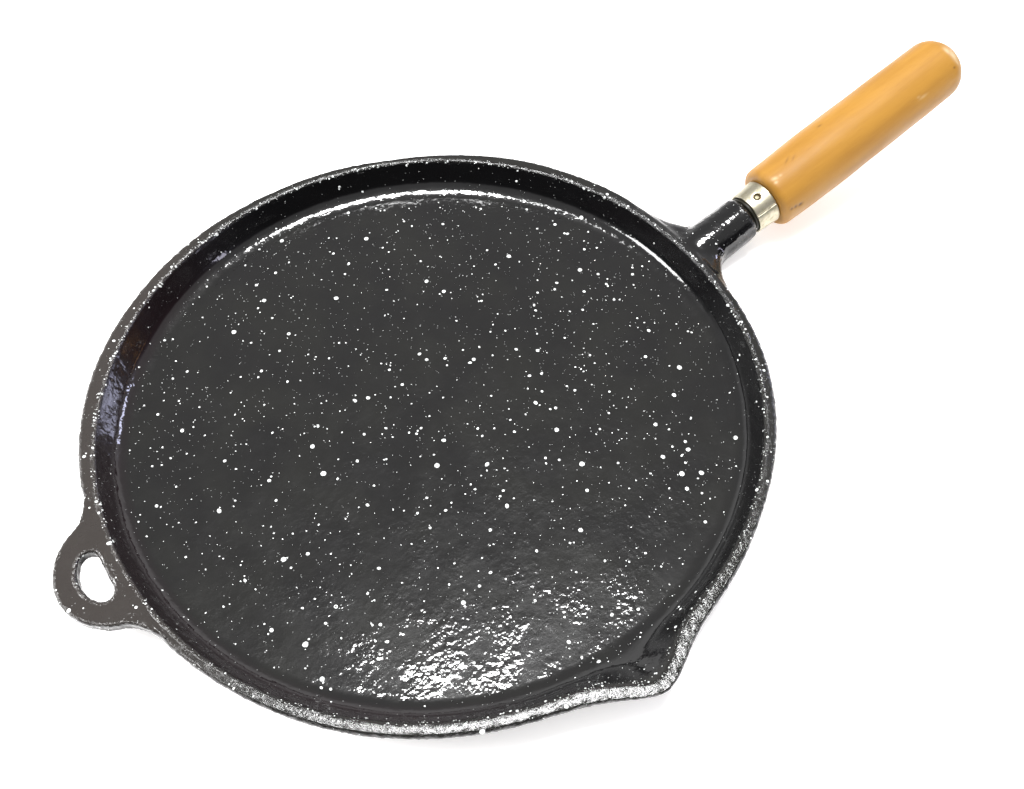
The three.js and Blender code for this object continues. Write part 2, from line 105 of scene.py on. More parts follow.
class NodeSheet:
    """A node tree being drawn, with short calls that add a node and feed its sockets."""

    def __init__(self, tree: bpy.types.NodeTree) -> None:
        """Starts on an existing tree."""
        self.tree = tree

    @staticmethod
    def pick(sockets: Sequence[Socket], key: Union[str, int]) -> Socket:
        """Finds a live socket.

        Args:
            sockets: a node's inputs or outputs.
            key: the socket's name, or its place among the live ones.

        Returns:
            The socket.
        """
        live = [socket for socket in sockets if socket.enabled]
        if isinstance(key, int):
            return live[key]
        return next(socket for socket in live if socket.name == key)

    def feed(self, socket: Socket, value: Any) -> None:
        """Links another socket to this one, or sets its value.

        Args:
            socket: the input to feed.
            value: an output socket, or a plain value.
        """
        if isinstance(value, Socket):
            self.tree.links.new(value, socket)
        else:
            socket.default_value = value

    def add(self, kind: str, inputs: Inputs = (), out: Union[str, int] = 0, **options: Any) -> Socket:
        """Adds one node.

        Args:
            kind: the node's type.
            inputs: what its inputs get, by name or in order.
            out: the output to hand back.
            **options: the node's own settings.

        Returns:
            The chosen output.
        """
        node = self.tree.nodes.new(kind)
        for name, value in options.items():
            setattr(node, name, value)
        pairs = inputs.items() if isinstance(inputs, Mapping) else enumerate(inputs)
        for key, value in pairs:
            self.feed(self.pick(node.inputs, key), value)
        return self.pick(node.outputs, out)

    def math(self, operation: str, *values: Any) -> Socket:
        """Adds a Math node and hands back its result."""
        return self.add("ShaderNodeMath", values, operation=operation)

    def times(self, *values: Any) -> Socket:
        """Multiplies two values."""
        return self.math("MULTIPLY", *values)

    def ramp(self, value: Any, low: float, high: float, start: Any = 0.0, end: Any = 1.0) -> Socket:
        """Maps a value smoothly from the range low to high onto start to end, and holds it beyond them."""
        return self.add("ShaderNodeMapRange", (value, low, high, start, end), interpolation_type="SMOOTHSTEP")

    def parts(self, vector: Any) -> tuple[Socket, Socket, Socket]:
        """Splits a vector into its X, Y and Z."""
        x, y, z = self.add("ShaderNodeSeparateXYZ", (vector,)).node.outputs
        return x, y, z

    def noise(self, vector: Any, size: float, detail: float = 2.0, roughness: float = 0.5) -> Socket:
        """Adds a noise around 0.5, with bumps of a size in millimetres and finer layers on them."""
        inputs = {"Vector": vector, "Scale": 1 / (size * MM), "Detail": detail, "Roughness": roughness}
        return self.add("ShaderNodeTexNoise", inputs)


class PaintSheet(NodeSheet):
    """A material being drawn."""

    def __init__(self, name: str) -> None:
        """Starts a material.

        Args:
            name: the material's name.
        """
        self.material = bpy.data.materials.new(name)
        self.material.use_nodes = True
        super().__init__(self.material.node_tree)

    def place(self) -> Socket:
        """The point of the object that is shaded, in metres."""
        return self.add("ShaderNodeTexCoord", out="Object")

    def share(self, name: str) -> Socket:
        """Reads the number that a mesh's corners carry under a name."""
        return self.add("ShaderNodeAttribute", out="Fac", attribute_name=name)

    def blend(self, share: Any, low: Any, high: Any) -> Socket:
        """Blends two colours, each three numbers or a socket; a share of 0 gives the first and 1 the second."""
        pair = [tone if isinstance(tone, Socket) else (*tone, 1.0) for tone in (low, high)]
        return self.add("ShaderNodeMix", (share, *pair), data_type="RGBA")

    def relief(self, height: Any, depth: float, under: Any = None) -> Socket:
        """Adds relief to a surface.

        Args:
            height: the pattern, from 0 to 1.
            depth: how deep it is in millimetres.
            under: the relief below it.

        Returns:
            The surface's direction.
        """
        inputs = {"Strength": 1.0, "Distance": depth * MM, "Height": height}
        if under is not None:
            inputs["Normal"] = under
        return self.add("ShaderNodeBump", inputs)

    def paint(self, inputs: Mapping[str, Any]) -> Material:
        """Feeds the surface shader.

        Args:
            inputs: what its inputs get, by name.

        Returns:
            The material.
        """
        shader = self.tree.nodes["Principled BSDF"]
        for name, value in inputs.items():
            self.feed(shader.inputs[name], value)
        return self.material


class GrowthSheet(NodeSheet):
    """A Geometry Nodes tree with named sizes, which is grown into a plain mesh."""

    def __init__(self, name: str) -> None:
        """Starts an empty tree.

        Args:
            name: the tree's name.
        """
        super().__init__(bpy.data.node_groups.new(name, "GeometryNodeTree"))
        self.tree.interface.new_socket("Geometry", in_out="INPUT", socket_type="NodeSocketGeometry")
        self.tree.interface.new_socket("Geometry", in_out="OUTPUT", socket_type="NodeSocketGeometry")
        self.entry = self.tree.nodes.new("NodeGroupInput")
        self.exit = self.tree.nodes.new("NodeGroupOutput")
        self.values: dict[str, Any] = {}

    @property
    def start(self) -> Socket:
        """The geometry that the tree is given."""
        return self.entry.outputs[0]

    def share(self, name: str) -> Socket:
        """Reads the number that the geometry carries under a name."""
        return self.add("GeometryNodeInputNamedAttribute", {"Name": name}, out="Attribute")

    def size(self, name: str, value: Any, kind: str = "NodeSocketFloat") -> Socket:
        """Adds a named input and keeps its value for the modifier.

        Args:
            name: the input's name.
            value: what the modifier sets it to.
            kind: the socket's type.

        Returns:
            The socket inside the tree.
        """
        item = self.tree.interface.new_socket(name, in_out="INPUT", socket_type=kind)
        self.values[item.identifier] = value
        return next(socket for socket in self.entry.outputs if socket.identifier == item.identifier)

    def finish(self, geometry: Socket, material: Material) -> None:
        """Ends the tree in real, smooth faces of one material.

        Args:
            geometry: the last geometry.
            material: what it is made of.
        """
        whole = self.add("GeometryNodeRealizeInstances", (geometry,))
        smooth = self.add("GeometryNodeSetShadeSmooth", (whole,))
        dressed = self.add("GeometryNodeSetMaterial", {"Geometry": smooth, "Material": material})
        self.feed(self.exit.inputs[0], dressed)

    def grow(self, start: Mesh | None = None) -> Mesh:
        """Runs the tree on a mesh.

        Args:
            start: the mesh it is given, or none.

        Returns:
            A new plain mesh.
        """
        mesh = start or bpy.data.meshes.new(self.tree.name)
        with Stand(mesh) as stand:
            modifier = stand.modifiers.new("growth", "NODES")
            modifier.node_group = self.tree
            for identifier, value in self.values.items():
                modifier[identifier] = value
            grown = solid_of(stand)
            stand.modifiers.remove(modifier)
        bpy.data.node_groups.remove(self.tree)
        return grown


# Meshes


def put(name: str, data: bpy.types.ID) -> bpy.types.Object:
    """Puts a mesh, light or camera in the scene as an object.

    Args:
        name: the object's name.
        data: what it carries.

    Returns:
        The object.
    """
    item = bpy.data.objects.new(name, data)
    bpy.context.scene.collection.objects.link(item)
    return item


class Stand:
    """A short-lived object that carries a mesh while modifiers work on it."""

    def __init__(self, mesh: Mesh) -> None:
        """Takes the mesh to carry."""
        self.mesh = mesh

    def __enter__(self) -> bpy.types.Object:
        """Puts the object in the scene."""
        self.item = put("stand", self.mesh)
        return self.item

    def __exit__(self, *_: Any) -> None:
        """Takes the object away."""
        bpy.data.objects.remove(self.item)


def solid_of(item: bpy.types.Object) -> Mesh:
    """Gives a new plain mesh of an object, with its modifiers worked in."""
    graph = bpy.context.evaluated_depsgraph_get()
    return bpy.data.meshes.new_from_object(item.evaluated_get(graph), depsgraph=graph)


def combine(body: Mesh, tool: Mesh, cut: Cut) -> Mesh:
    """Joins a solid to another, or removes it.

    Args:
        body: the solid that is kept.
        tool: the other solid.
        cut: join or remove.

    Returns:
        The resulting solid.
    """
    with Stand(body) as stand, Stand(tool) as other:
        modifier = stand.modifiers.new("combine", "BOOLEAN")
        modifier.operation = cut.value
        modifier.solver = "MANIFOLD"
        modifier.object = other
        return solid_of(stand)


def mesh_from(points: Array, faces: Sequence[Sequence[int]], material: Material) -> Mesh:
    """Makes a smooth closed mesh with its faces outwards.

    Args:
        points: corners in millimetres.
        faces: corner numbers of each face.
        material: what it is made of.

    Returns:
        The mesh, in metres.
    """
    corners = np.asarray(points, dtype=float)
    fans = [(face[0], face[i], face[i + 1]) for face in faces for i in range(1, len(face) - 1)]
    a, b, c = (corners[[fan[i] for fan in fans]] for i in range(3))
    if np.einsum("ij,ij->i", a, np.cross(b, c)).sum() < 0:
        faces = [tuple(reversed(face)) for face in faces]
    mesh = bpy.data.meshes.new("piece")
    mesh.from_pydata((corners * MM).tolist(), [], faces)
    mesh.materials.append(material)
    mesh.polygons.foreach_set("use_smooth", np.ones(len(mesh.polygons), dtype=bool))
    mesh.validate()
    return mesh


def face_out(mesh: Mesh) -> Mesh:
    """Turns a closed mesh's faces outwards where they point inwards.

    Args:
        mesh: the mesh.

    Returns:
        The same mesh.
    """
    corners = places(mesh)
    mesh.calc_loop_triangles()
    fans = np.empty(len(mesh.loop_triangles) * 3, dtype=np.int64)
    mesh.loop_triangles.foreach_get("vertices", fans)
    a, b, c = (corners[fans.reshape(-1, 3)[:, k]] for k in range(3))
    if np.einsum("ij,ij->i", a, np.cross(b, c)).sum() < 0:
        mesh.flip_normals()
    return mesh


def skin(rings: Array, material: Material, looped: bool = False) -> Mesh:
    """Covers rings of equal counts with one closed skin.

    Args:
        rings: points as (ring, place on ring, xyz) in millimetres.
        material: what it is made of.
        looped: whether the last ring joins the first, else both ends get a flat cap.

    Returns:
        The mesh.
    """
    count, around = rings.shape[:2]
    faces: list[tuple[int, ...]] = []
    for ring in range(count if looped else count - 1):
        here, there = ring * around, ((ring + 1) % count) * around
        for i in range(around):
            j = (i + 1) % around
            faces.append((here + i, here + j, there + j, there + i))
    points = rings.reshape(-1, 3)
    if not looped:
        points = np.vstack([points, rings[0].mean(axis=0), rings[-1].mean(axis=0)])
        last = (count - 1) * around
        for i in range(around):
            j = (i + 1) % around
            faces.append((count * around, j, i))
            faces.append((count * around + 1, last + i, last + j))
    return mesh_from(points, faces, material)


def turned(outline: Array, steps: int) -> Array:
    """Revolves a profile about the X axis.

    Args:
        outline: points of (distance along, radius).
        steps: how many places there are around.

    Returns:
        Rings of points, each starting on the upper side and turning towards +Y.
    """
    angle = np.linspace(0, 2 * math.pi, steps, endpoint=False)
    along = np.repeat(outline[:, :1], steps, axis=1)
    radius = outline[:, 1:2]
    return np.stack([along, radius * np.sin(angle), radius * np.cos(angle)], axis=2)


def read(mesh: Mesh, name: str) -> Array:
    """Reads three numbers of each corner.

    Args:
        mesh: the mesh.
        name: "co" for its place in metres, "normal" for the direction that it faces.

    Returns:
        One row for each corner.
    """
    flat = np.empty(len(mesh.vertices) * 3)
    mesh.vertices.foreach_get(name, flat)
    return flat.reshape(-1, 3)


def places(mesh: Mesh) -> Array:
    """Reads a mesh's corners in millimetres."""
    return read(mesh, "co") / MM


def move_to(mesh: Mesh, points: Array) -> None:
    """Sets a mesh's corners from millimetres."""
    mesh.vertices.foreach_set("co", (points * MM).ravel())
    mesh.update()


def write_share(mesh: Mesh, name: str, values: Array) -> None:
    """Stores one number for each corner."""
    mesh.attributes.new(name, "FLOAT", "POINT").data.foreach_set("value", values.astype(np.float32))


class Neighbours:
    """Which corners of a mesh an edge joins."""

    def __init__(self, mesh: Mesh) -> None:
        """Reads the mesh's edges.

        Args:
            mesh: the mesh.
        """
        self.pairs = np.empty(len(mesh.edges) * 2, dtype=np.int64)
        mesh.edges.foreach_get("vertices", self.pairs)
        self.pairs = self.pairs.reshape(-1, 2)
        self.degree = np.maximum(np.bincount(self.pairs.ravel(), minlength=len(mesh.vertices)), 1)

    def mean(self, values: Array) -> Array:
        """Averages a value over each corner's neighbours.

        Args:
            values: one number or row for each corner.

        Returns:
            The averages, shaped as the values.
        """
        table = values.reshape(len(values), -1)
        total = np.zeros_like(table)
        for k in range(table.shape[1]):
            total[:, k] = np.bincount(self.pairs[:, 0], table[self.pairs[:, 1], k], len(table))
            total[:, k] += np.bincount(self.pairs[:, 1], table[self.pairs[:, 0], k], len(table))
        return (total / self.degree[:, None]).reshape(values.shape)


@dataclass(frozen=True)
class Climb:
    """A share that is 0 at its start and 1 a span further on, where a negative span leads downwards."""

    start: float
    span: float

    def at(self, values: Array) -> Array:
        """The share at some values."""
        return np.clip((values - self.start) / self.span, 0, 1)


@dataclass(frozen=True)
class Corner:
    """A corner of a profile, with the radius that rounds it."""

    x: float
    y: float
    round: float = 0.0


def round_corner(before: Corner, corner: Corner, after: Corner, steps: int) -> Array:
    """Rounds one corner with an arc that meets both of its sides.

    Args:
        before: the corner before it.
        corner: the corner.
        after: the corner after it.
        steps: how many sides the arc gets.

    Returns:
        The arc's points, or the corner itself where it is sharp.
    """
    place = np.array([corner.x, corner.y])
    if corner.round == 0:
        return place[None]
    back = np.array([before.x, before.y]) - place
    ahead = np.array([after.x, after.y]) - place
    back /= np.linalg.norm(back)
    ahead /= np.linalg.norm(ahead)
    half = math.acos(float(np.clip(back @ ahead, -1, 1))) / 2
    middle = (back + ahead) / np.linalg.norm(back + ahead)
    centre = place + middle * corner.round / math.sin(half)
    start = place + back * corner.round / math.tan(half) - centre
    turn = math.copysign(math.pi - 2 * half, ahead[0] * back[1] - ahead[1] * back[0])
    angle = np.linspace(0, turn, steps + 1)
    x = start[0] * np.cos(angle) - start[1] * np.sin(angle)
    y = start[0] * np.sin(angle) + start[1] * np.cos(angle)
    return centre + np.stack([x, y], axis=1)


def divide(outline: Array, longest: float) -> Array:
    """Adds points so that no side of an open outline is longer than a limit.

    Args:
        outline: points, whose first two numbers are the plane.
        longest: the limit.

    Returns:
        The finer outline.
    """
    rows = [outline[:1]]
    for a, b in zip(outline[:-1], outline[1:]):
        steps = max(1, math.ceil(float(np.linalg.norm((b - a)[:2])) / longest))
        share = np.linspace(0, 1, steps + 1)[1:, None]
        rows.append(a + (b - a) * share)
    return np.vstack(rows)


def bezier(points: Sequence[Sequence[float]], steps: int) -> Array:
    """Draws a cubic curve.

    Args:
        points: its four control points.
        steps: how many sides it gets.

    Returns:
        The points along it.
    """
    t = np.linspace(0, 1, steps + 1)[:, None]
    a, b, c, d = (np.asarray(point, dtype=float) for point in points)
    return (1 - t) ** 3 * a + 3 * (1 - t) ** 2 * t * b + 3 * (1 - t) * t**2 * c + t**3 * d


def outward(loop: Array) -> Array:
    """Finds the direction that each point of a closed outline faces, away from what it encloses.

    Args:
        loop: points in turn, counter-clockwise.

    Returns:
        Unit vectors.
    """
    ahead = np.roll(loop, -1, axis=0) - np.roll(loop, 1, axis=0)
    side = np.stack([ahead[:, 1], -ahead[:, 0]], axis=1)
    return side / np.maximum(np.linalg.norm(side, axis=1, keepdims=True), 1e-9)


def polar(radius: float, angle: float) -> Array:
    """A point of the plane at a radius and an angle in radians."""
    return np.array([radius * math.cos(angle), radius * math.sin(angle)])


def add_piece(name: str, mesh: Mesh, stands_for: Sequence[str] = ()) -> bpy.types.Object:
    """Puts a finished mesh in the scene as a piece of the pan.

    Args:
        name: the piece's name.
        mesh: its mesh.
        stands_for: the CAD nodes that it replaces.

    Returns:
        The piece.
    """
    mesh.name = name
    piece = put(name, mesh)
    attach(piece, BODY)
    if stands_for:
        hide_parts(*stands_for)
    triangles = sum(len(face.vertices) - 2 for face in mesh.polygons)
    LOG.info("%s: %d triangles", name, triangles)
    return piece


# Finishes


@dataclass(frozen=True)
class BlackEnamel:
    """Glossy black vitreous enamel, thick and slightly uneven, on a sand-cast surface.

    A pair of places, in metres along X or Y, is where something begins to show and where it fully does.
    """

    name: str = "black_enamel"
    body: Triple = (0.0024, 0.0023, 0.0026)
    haze: Triple = (0.0034, 0.0031, 0.0032)
    mottle: Triple = (0.0058, 0.0056, 0.0048)
    blush: Triple = (0.0085, 0.0046, 0.0056)
    crest: Triple = (0.0060, 0.0056, 0.0044)
    crest_pale: Triple = (0.0260, 0.0215, 0.0190)
    dust: Triple = (0.20, 0.205, 0.20)
    cloud_size: float = 26.0
    blush_places: Pair = (-0.02, -0.09)
    pale_places: Pair = (-0.075, -0.14)
    pale_slant: float = -0.5
    patch_size: float = 9.0
    patch_roughness: Pair = (0.22, 0.36)
    rough_crest_places: Pair = (-0.02, -0.08)
    rough_crest_shares: Pair = (0.1, 0.6)
    base_reflection: float = 0.1
    coat_roughness: float = 0.06
    coat_index: float = 1.65
    dull_coat: float = 0.2
    dust_pitch: float = 1.3
    dust_edge: Pair = (0.1, 0.2)
    dust_above: float = 0.88
    gather_size: float = 15.0
    gather_shares: Pair = (0.35, 1.25)
    side_peel: float = 0.3
    peel_size: float = 2.4
    peel_depth: float = 0.155
    ripple_size: float = 0.9
    ripple_depth: float = 0.04
    grain_size: float = 0.8
    grain_depth: float = 0.26
    foot_size: float = 5.0
    foot_depth: float = 0.2

    def make(self) -> Material:
        """Draws the enamel.

        Returns:
            The material.
        """
        sheet = PaintSheet(self.name)
        place = sheet.place()
        level, crest = sheet.share("level_share"), sheet.share("crest_share")
        patch = sheet.noise(place, self.patch_size, 3.0, 0.6)
        towards_lip = sheet.ramp(sheet.parts(place)[1], *self.rough_crest_places, *self.rough_crest_shares)
        edge = sheet.math("MAXIMUM", sheet.share("edge_share"), sheet.times(crest, towards_lip))
        normal = self.surface(sheet, place, edge, level)
        inputs = {
            "Base Color": self.dusted(sheet, place, self.colour(sheet, place, level, crest)),
            "Roughness": sheet.ramp(patch, 0.3, 0.75, *self.patch_roughness),
            "Normal": normal,
            "Specular IOR Level": self.base_reflection,
            "Coat Weight": sheet.ramp(sheet.share("dull_share"), 0.0, 1.0, 1.0, self.dull_coat),
            "Coat Roughness": self.coat_roughness,
            "Coat IOR": self.coat_index,
            "Coat Normal": normal,
        }
        return sheet.paint(inputs)

    def colour(self, sheet: PaintSheet, place: Socket, level: Socket, crest: Socket) -> Socket:
        """Mixes the black: clouded where it faces up, warmer on the far wall and paler on the rim.

        Args:
            sheet: where it is drawn.
            place: the point that is shaded.
            level: 1 on what faces up.
            crest: 1 along the rim's top.

        Returns:
            The colour below the white grains.
        """
        x, y, _ = sheet.parts(place)
        cloud = sheet.ramp(sheet.noise(place, self.cloud_size, 3.0), 0.35, 0.7)
        base = sheet.blend(level, self.body, sheet.blend(cloud, self.haze, self.mottle))
        far_wall = sheet.times(sheet.share("wall_share"), sheet.ramp(x, *self.blush_places))
        tinted = sheet.blend(far_wall, base, self.blush)
        pale = sheet.ramp(sheet.math("MULTIPLY_ADD", y, self.pale_slant, x), *self.pale_places)
        return sheet.blend(crest, tinted, sheet.blend(pale, self.crest, self.crest_pale))

    def dusted(self, sheet: PaintSheet, place: Socket, base: Socket) -> Socket:
        """Strews grains of white frit, too small to model, over the colour.

        Args:
            sheet: where it is drawn.
            place: the point that is shaded.
            base: the colour below them.

        Returns:
            The colour with its grains.
        """
        node = sheet.add("ShaderNodeTexVoronoi", {"Vector": place, "Scale": 1 / (self.dust_pitch * MM)}).node
        chance = sheet.parts(node.outputs["Color"])[0]
        dot = sheet.ramp(node.outputs["Distance"], *self.dust_edge, 1.0, 0.0)
        kept = sheet.math("GREATER_THAN", chance, self.dust_above)
        return sheet.blend(sheet.times(dot, kept), base, self.dust)

    def surface(self, sheet: PaintSheet, place: Socket, edge: Socket, level: Socket) -> Socket:
        """Draws the orange peel, its fine ripple and the rough cast edges.

        Args:
            sheet: where it is drawn.
            place: the point that is shaded.
            edge: how rough the casting is there.
            level: 1 on what faces up, where the enamel pooled unevenly.

        Returns:
            The surface's direction.
        """
        gather = sheet.ramp(sheet.noise(place, self.gather_size, 2.0), 0.36, 0.64, *self.gather_shares)
        pooled = sheet.math("MULTIPLY_ADD", level, 1 - self.side_peel, self.side_peel)
        uneven = sheet.times(gather, pooled)
        swell = sheet.times(sheet.noise(place, self.peel_size, 1.5, 0.5), uneven)
        peel = sheet.relief(swell, self.peel_depth)
        wobble = sheet.times(sheet.noise(place, self.foot_size, 2.0, 0.6), sheet.share("foot_share"))
        peel = sheet.relief(wobble, self.foot_depth, peel)
        fine = sheet.times(sheet.noise(place, self.ripple_size, 1.0), uneven)
        ripple = sheet.relief(fine, self.ripple_depth, peel)
        grain = sheet.times(sheet.noise(place, self.grain_size, 3.0, 0.65), edge)
        return sheet.relief(grain, self.grain_depth, ripple)


@dataclass(frozen=True)
class WhiteFrit:
    """White glass flecks, fused into the enamel."""

    name: str = "white_frit"
    white: Triple = (0.86, 0.88, 0.86)
    worn: Triple = (0.62, 0.64, 0.63)
    tone_size: float = 6.0
    gloss_size: float = 0.7
    roughness: Pair = (0.2, 0.4)
    pit_size: float = 0.5
    pit_depth: float = 0.02

    def make(self) -> Material:
        """Draws the flecks.

        Returns:
            The material.
        """
        sheet = PaintSheet(self.name)
        place = sheet.place()
        tone = sheet.ramp(sheet.noise(place, self.tone_size, 2.0), 0.35, 0.7)
        inputs = {
            "Base Color": sheet.blend(tone, self.white, self.worn),
            "Roughness": sheet.ramp(sheet.noise(place, self.gloss_size), 0.3, 0.7, *self.roughness),
            "Normal": sheet.relief(sheet.noise(place, self.pit_size), self.pit_depth),
        }
        return sheet.paint(inputs)


@dataclass(frozen=True)
class Metal:
    """Bare or plated steel, brushed one way and a little stained."""

    name: str = "steel"
    bright: Triple = (0.54, 0.505, 0.395)
    dull: Triple = (0.33, 0.30, 0.21)
    stretch: Triple = (0.12, 1.0, 1.0)
    brush_size: float = 0.25
    brush_depth: float = 0.006
    smooth: float = 0.4
    rough: float = 0.6
    tilt: float = 0.0
    stain_size: float = 3.5
    stain_share: float = 0.65

    def make(self) -> Material:
        """Draws the metal.

        Returns:
            The material.
        """
        sheet = PaintSheet(self.name)
        place = sheet.place()
        level = sheet.add("ShaderNodeMapping", {"Vector": place, "Rotation": (0, math.radians(self.tilt), 0)})
        along = sheet.add("ShaderNodeMapping", {"Vector": level, "Scale": self.stretch})
        brush = sheet.noise(along, self.brush_size, 3.0, 0.6)
        stain = sheet.ramp(sheet.noise(place, self.stain_size, 4.0, 0.6), 0.42, 0.72)
        stained = sheet.times(stain, self.stain_share)
        streak = sheet.math("MULTIPLY_ADD", sheet.ramp(brush, 0.35, 0.7), 1 - self.stain_share, stained)
        inputs = {
            "Base Color": sheet.blend(streak, self.bright, self.dull),
            "Metallic": 1.0,
            "Roughness": sheet.ramp(streak, 0.1, 0.9, self.smooth, self.rough),
            "Normal": sheet.relief(brush, self.brush_depth),
        }
        return sheet.paint(inputs)


@dataclass(frozen=True)
class LacqueredWood:
    """Pale honey wood under clear lacquer, with fine pores along the grip."""

    name: str = "lacquered_wood"
    light: Triple = (0.375, 0.189, 0.031)
    dark: Triple = (0.285, 0.133, 0.018)
    pore: Triple = (0.22, 0.085, 0.018)
    # A paler cream, laid in patches on the grip: near the band, along its side and on the end's dome.
    pale_patch: Triple = (0.52, 0.38, 0.20)
    # The next two colours: the brown of bruises, which also starts the painted shade on the tenon's front, and the
    # near black of that painted shade where the tenon sits in the band's recess.
    bruise_and_shade: Triple = (0.075, 0.032, 0.012)
    recess_shade: Triple = (0.012, 0.0105, 0.006)
    tilt: float = 0.0
    fibre_stretch: Triple = (0.055, 1.0, 1.0)
    ring_stretch: Triple = (0.10, 1.0, 0.55)
    ring_turn: Triple = (0.5, 0.0, 0.0)
    ring_size: float = 5.5
    ring_share: float = 0.6
    cloud_size: float = 18.0
    pore_size: float = 0.36
    pore_share: float = 0.34
    roughness: Pair = (0.4, 0.52)
    fibre_size: float = 0.5
    fibre_depth: float = 0.02
    wave_size: float = 7.0
    wave_depth: float = 0.12
    base_reflection: float = 0.24
    coat: float = 0.12
    coat_roughness: float = 0.4

    def make(self) -> Material:
        """Draws the wood.

        Returns:
            The material.
        """
        sheet = PaintSheet(self.name)
        turn = (0, math.radians(self.tilt), 0)
        grip = sheet.add("ShaderNodeMapping", {"Vector": sheet.place(), "Rotation": turn})
        fibre = sheet.add("ShaderNodeMapping", {"Vector": grip, "Scale": self.fibre_stretch})
        cloud = sheet.noise(grip, self.cloud_size, 2.0)
        relief = sheet.relief(sheet.noise(fibre, self.fibre_size, 2.0), self.fibre_depth)
        relief = sheet.relief(sheet.noise(grip, self.wave_size, 2.0), self.wave_depth, relief)
        inputs = {
            "Base Color": self.colour(sheet, grip, fibre, cloud),
            "Roughness": sheet.ramp(cloud, 0.3, 0.7, *self.roughness),
            "Normal": relief,
            "Specular IOR Level": self.base_reflection,
            "Coat Weight": self.coat,
            "Coat Roughness": self.coat_roughness,
            "Coat Normal": relief,
        }
        return sheet.paint(inputs)

    def colour(self, sheet: PaintSheet, grip: Socket, fibre: Socket, cloud: Socket) -> Socket:
        """Mixes the wood's rings and pores, lays its paler patches and bruises over them, then lays painted shade on
        the tenon's front, inside the band's recess.

        Args:
            sheet: where it is drawn.
            grip: the point that is shaded, turned in line with the grip.
            fibre: the same point, drawn out along the fibres.
            cloud: a slow change of tone.

        Returns:
            The colour.
        """
        drawn = {"Vector": grip, "Scale": self.ring_stretch, "Rotation": self.ring_turn}
        ring = sheet.add("ShaderNodeMapping", drawn)
        growth = sheet.ramp(sheet.noise(ring, self.ring_size, 3.0, 0.55), 0.3, 0.72)
        clouded = sheet.times(cloud, 1 - self.ring_share)
        tone = sheet.math("MULTIPLY_ADD", growth, self.ring_share, clouded)
        pores = sheet.ramp(sheet.noise(fibre, self.pore_size, 2.0, 0.5), 0.6, 0.78, 0.0, self.pore_share)
        # This share holds the grip's bruises and, from 1 to 2, the painted shade on the tenon's front inside the
        # band's recess.
        bruise_and_shade = sheet.share("bruise_share")
        colour = sheet.blend(tone, self.light, self.dark)
        for share, over in (
            (pores, self.pore),
            (sheet.share("bare_share"), self.pale_patch),
            (bruise_and_shade, self.bruise_and_shade),
            (sheet.ramp(bruise_and_shade, 1.0, 2.0), self.recess_shade),
        ):
            colour = sheet.blend(share, colour, over)
        return colour


@dataclass(frozen=True)
class PaleFloor:
    """The pale table that the pan stands on, lit a little from below."""

    name: str = "pale_floor"
    glow: float = 0.6
    white: Triple = (0.88, 0.87, 0.868)
    soft: Triple = (0.865, 0.855, 0.852)
    light: Triple = (1.0, 0.985, 0.98)
    cloud_size: float = 90.0

    def make(self) -> Material:
        """Draws the table.

        Returns:
            The material.
        """
        sheet = PaintSheet(self.name)
        tone = sheet.noise(sheet.place(), self.cloud_size, 2.0)
        inputs = {
            "Base Color": sheet.blend(tone, self.white, self.soft),
            "Roughness": 0.9,
            "Specular IOR Level": 0.1,
            "Emission Color": (*self.light, 1.0),
            "Emission Strength": self.glow,
        }
        return sheet.paint(inputs)


# The casting


@dataclass
class LipSizes:
    """The pouring lip, a bell-shaped bulge of the wall."""

    azimuth: float = -91.0
    reach: float = 11.2
    half_width: float = 14.0
    trough_reach: float = 10.0
    trough_half_width: float = 11.5
    sharpness: float = 1.7
    rise_power: float = 1.2
    crowding: float = 0.3


@dataclass
class DishSizes:
    """The round dish: flat base and floor, and a wall that leans outwards."""

    rim_radius: float = 140.0
    rim_height: float = 18.5
    floor: float = 4.5
    wall: float = 4.8
    slope: float = 24.0
    base_fillet: float = 6.0
    foot_fillet: float = 9.0
    outer_round: float = 1.6
    inner_round: float = 2.0
    rim_lean: float = 0.3
    segments: int = 984
    wall_step: float = 1.25
    floor_step: float = 11.0

    @property
    def lean(self) -> float:
        """How far the wall leans out for each millimetre of height."""
        return math.tan(math.radians(self.slope))

    @property
    def rim_corner(self) -> float:
        """Radius of the rim's outer corner before it is rounded."""
        half = math.radians(90 - self.slope) / 2
        return self.rim_radius + self.outer_round * (1 / math.tan(half) - 1)

    @property
    def wall_across(self) -> float:
        """The wall's thickness, measured level."""
        return self.wall / math.cos(math.radians(self.slope))

    def outline(self) -> Array:
        """Draws the section of the dish from the middle of its base to the middle of its floor.

        Returns:
            Rows of (radius, height, share), where share is 0 outside and 1 inside.
        """
        inner = self.rim_corner - self.wall_across
        corners = [
            Corner(0, 0),
            Corner(self.rim_corner - self.lean * self.rim_height, 0, self.base_fillet),
            Corner(self.rim_corner, self.rim_height - self.rim_lean, self.outer_round),
            Corner(inner, self.rim_height, self.inner_round),
            Corner(inner - self.lean * (self.rim_height - self.floor), self.floor, self.foot_fillet),
            Corner(0, self.floor),
        ]
        steps = (1, 7, 8, 9, 16, 1)
        rows = []
        for i, corner in enumerate(corners):
            arc = round_corner(corners[i - 1], corner, corners[(i + 1) % len(corners)], steps[i])
            share = np.full((len(arc), 1), 0.0 if i < 3 else 1.0)
            rows.append(np.hstack([arc, share]))
        walls = [divide(np.vstack([a[-1:], b[:1]]), self.wall_step)[1:-1] for a, b in zip(rows[1:-2], rows[2:-1])]
        base = divide(np.vstack([rows[0], rows[1][:1]]), 3 * self.floor_step)[:-1]
        floor = divide(np.vstack([rows[4][-1:], rows[5]]), self.floor_step)[1:]
        return np.vstack([base, rows[1], walls[0], rows[2], walls[1], rows[3], walls[2], rows[4], floor])


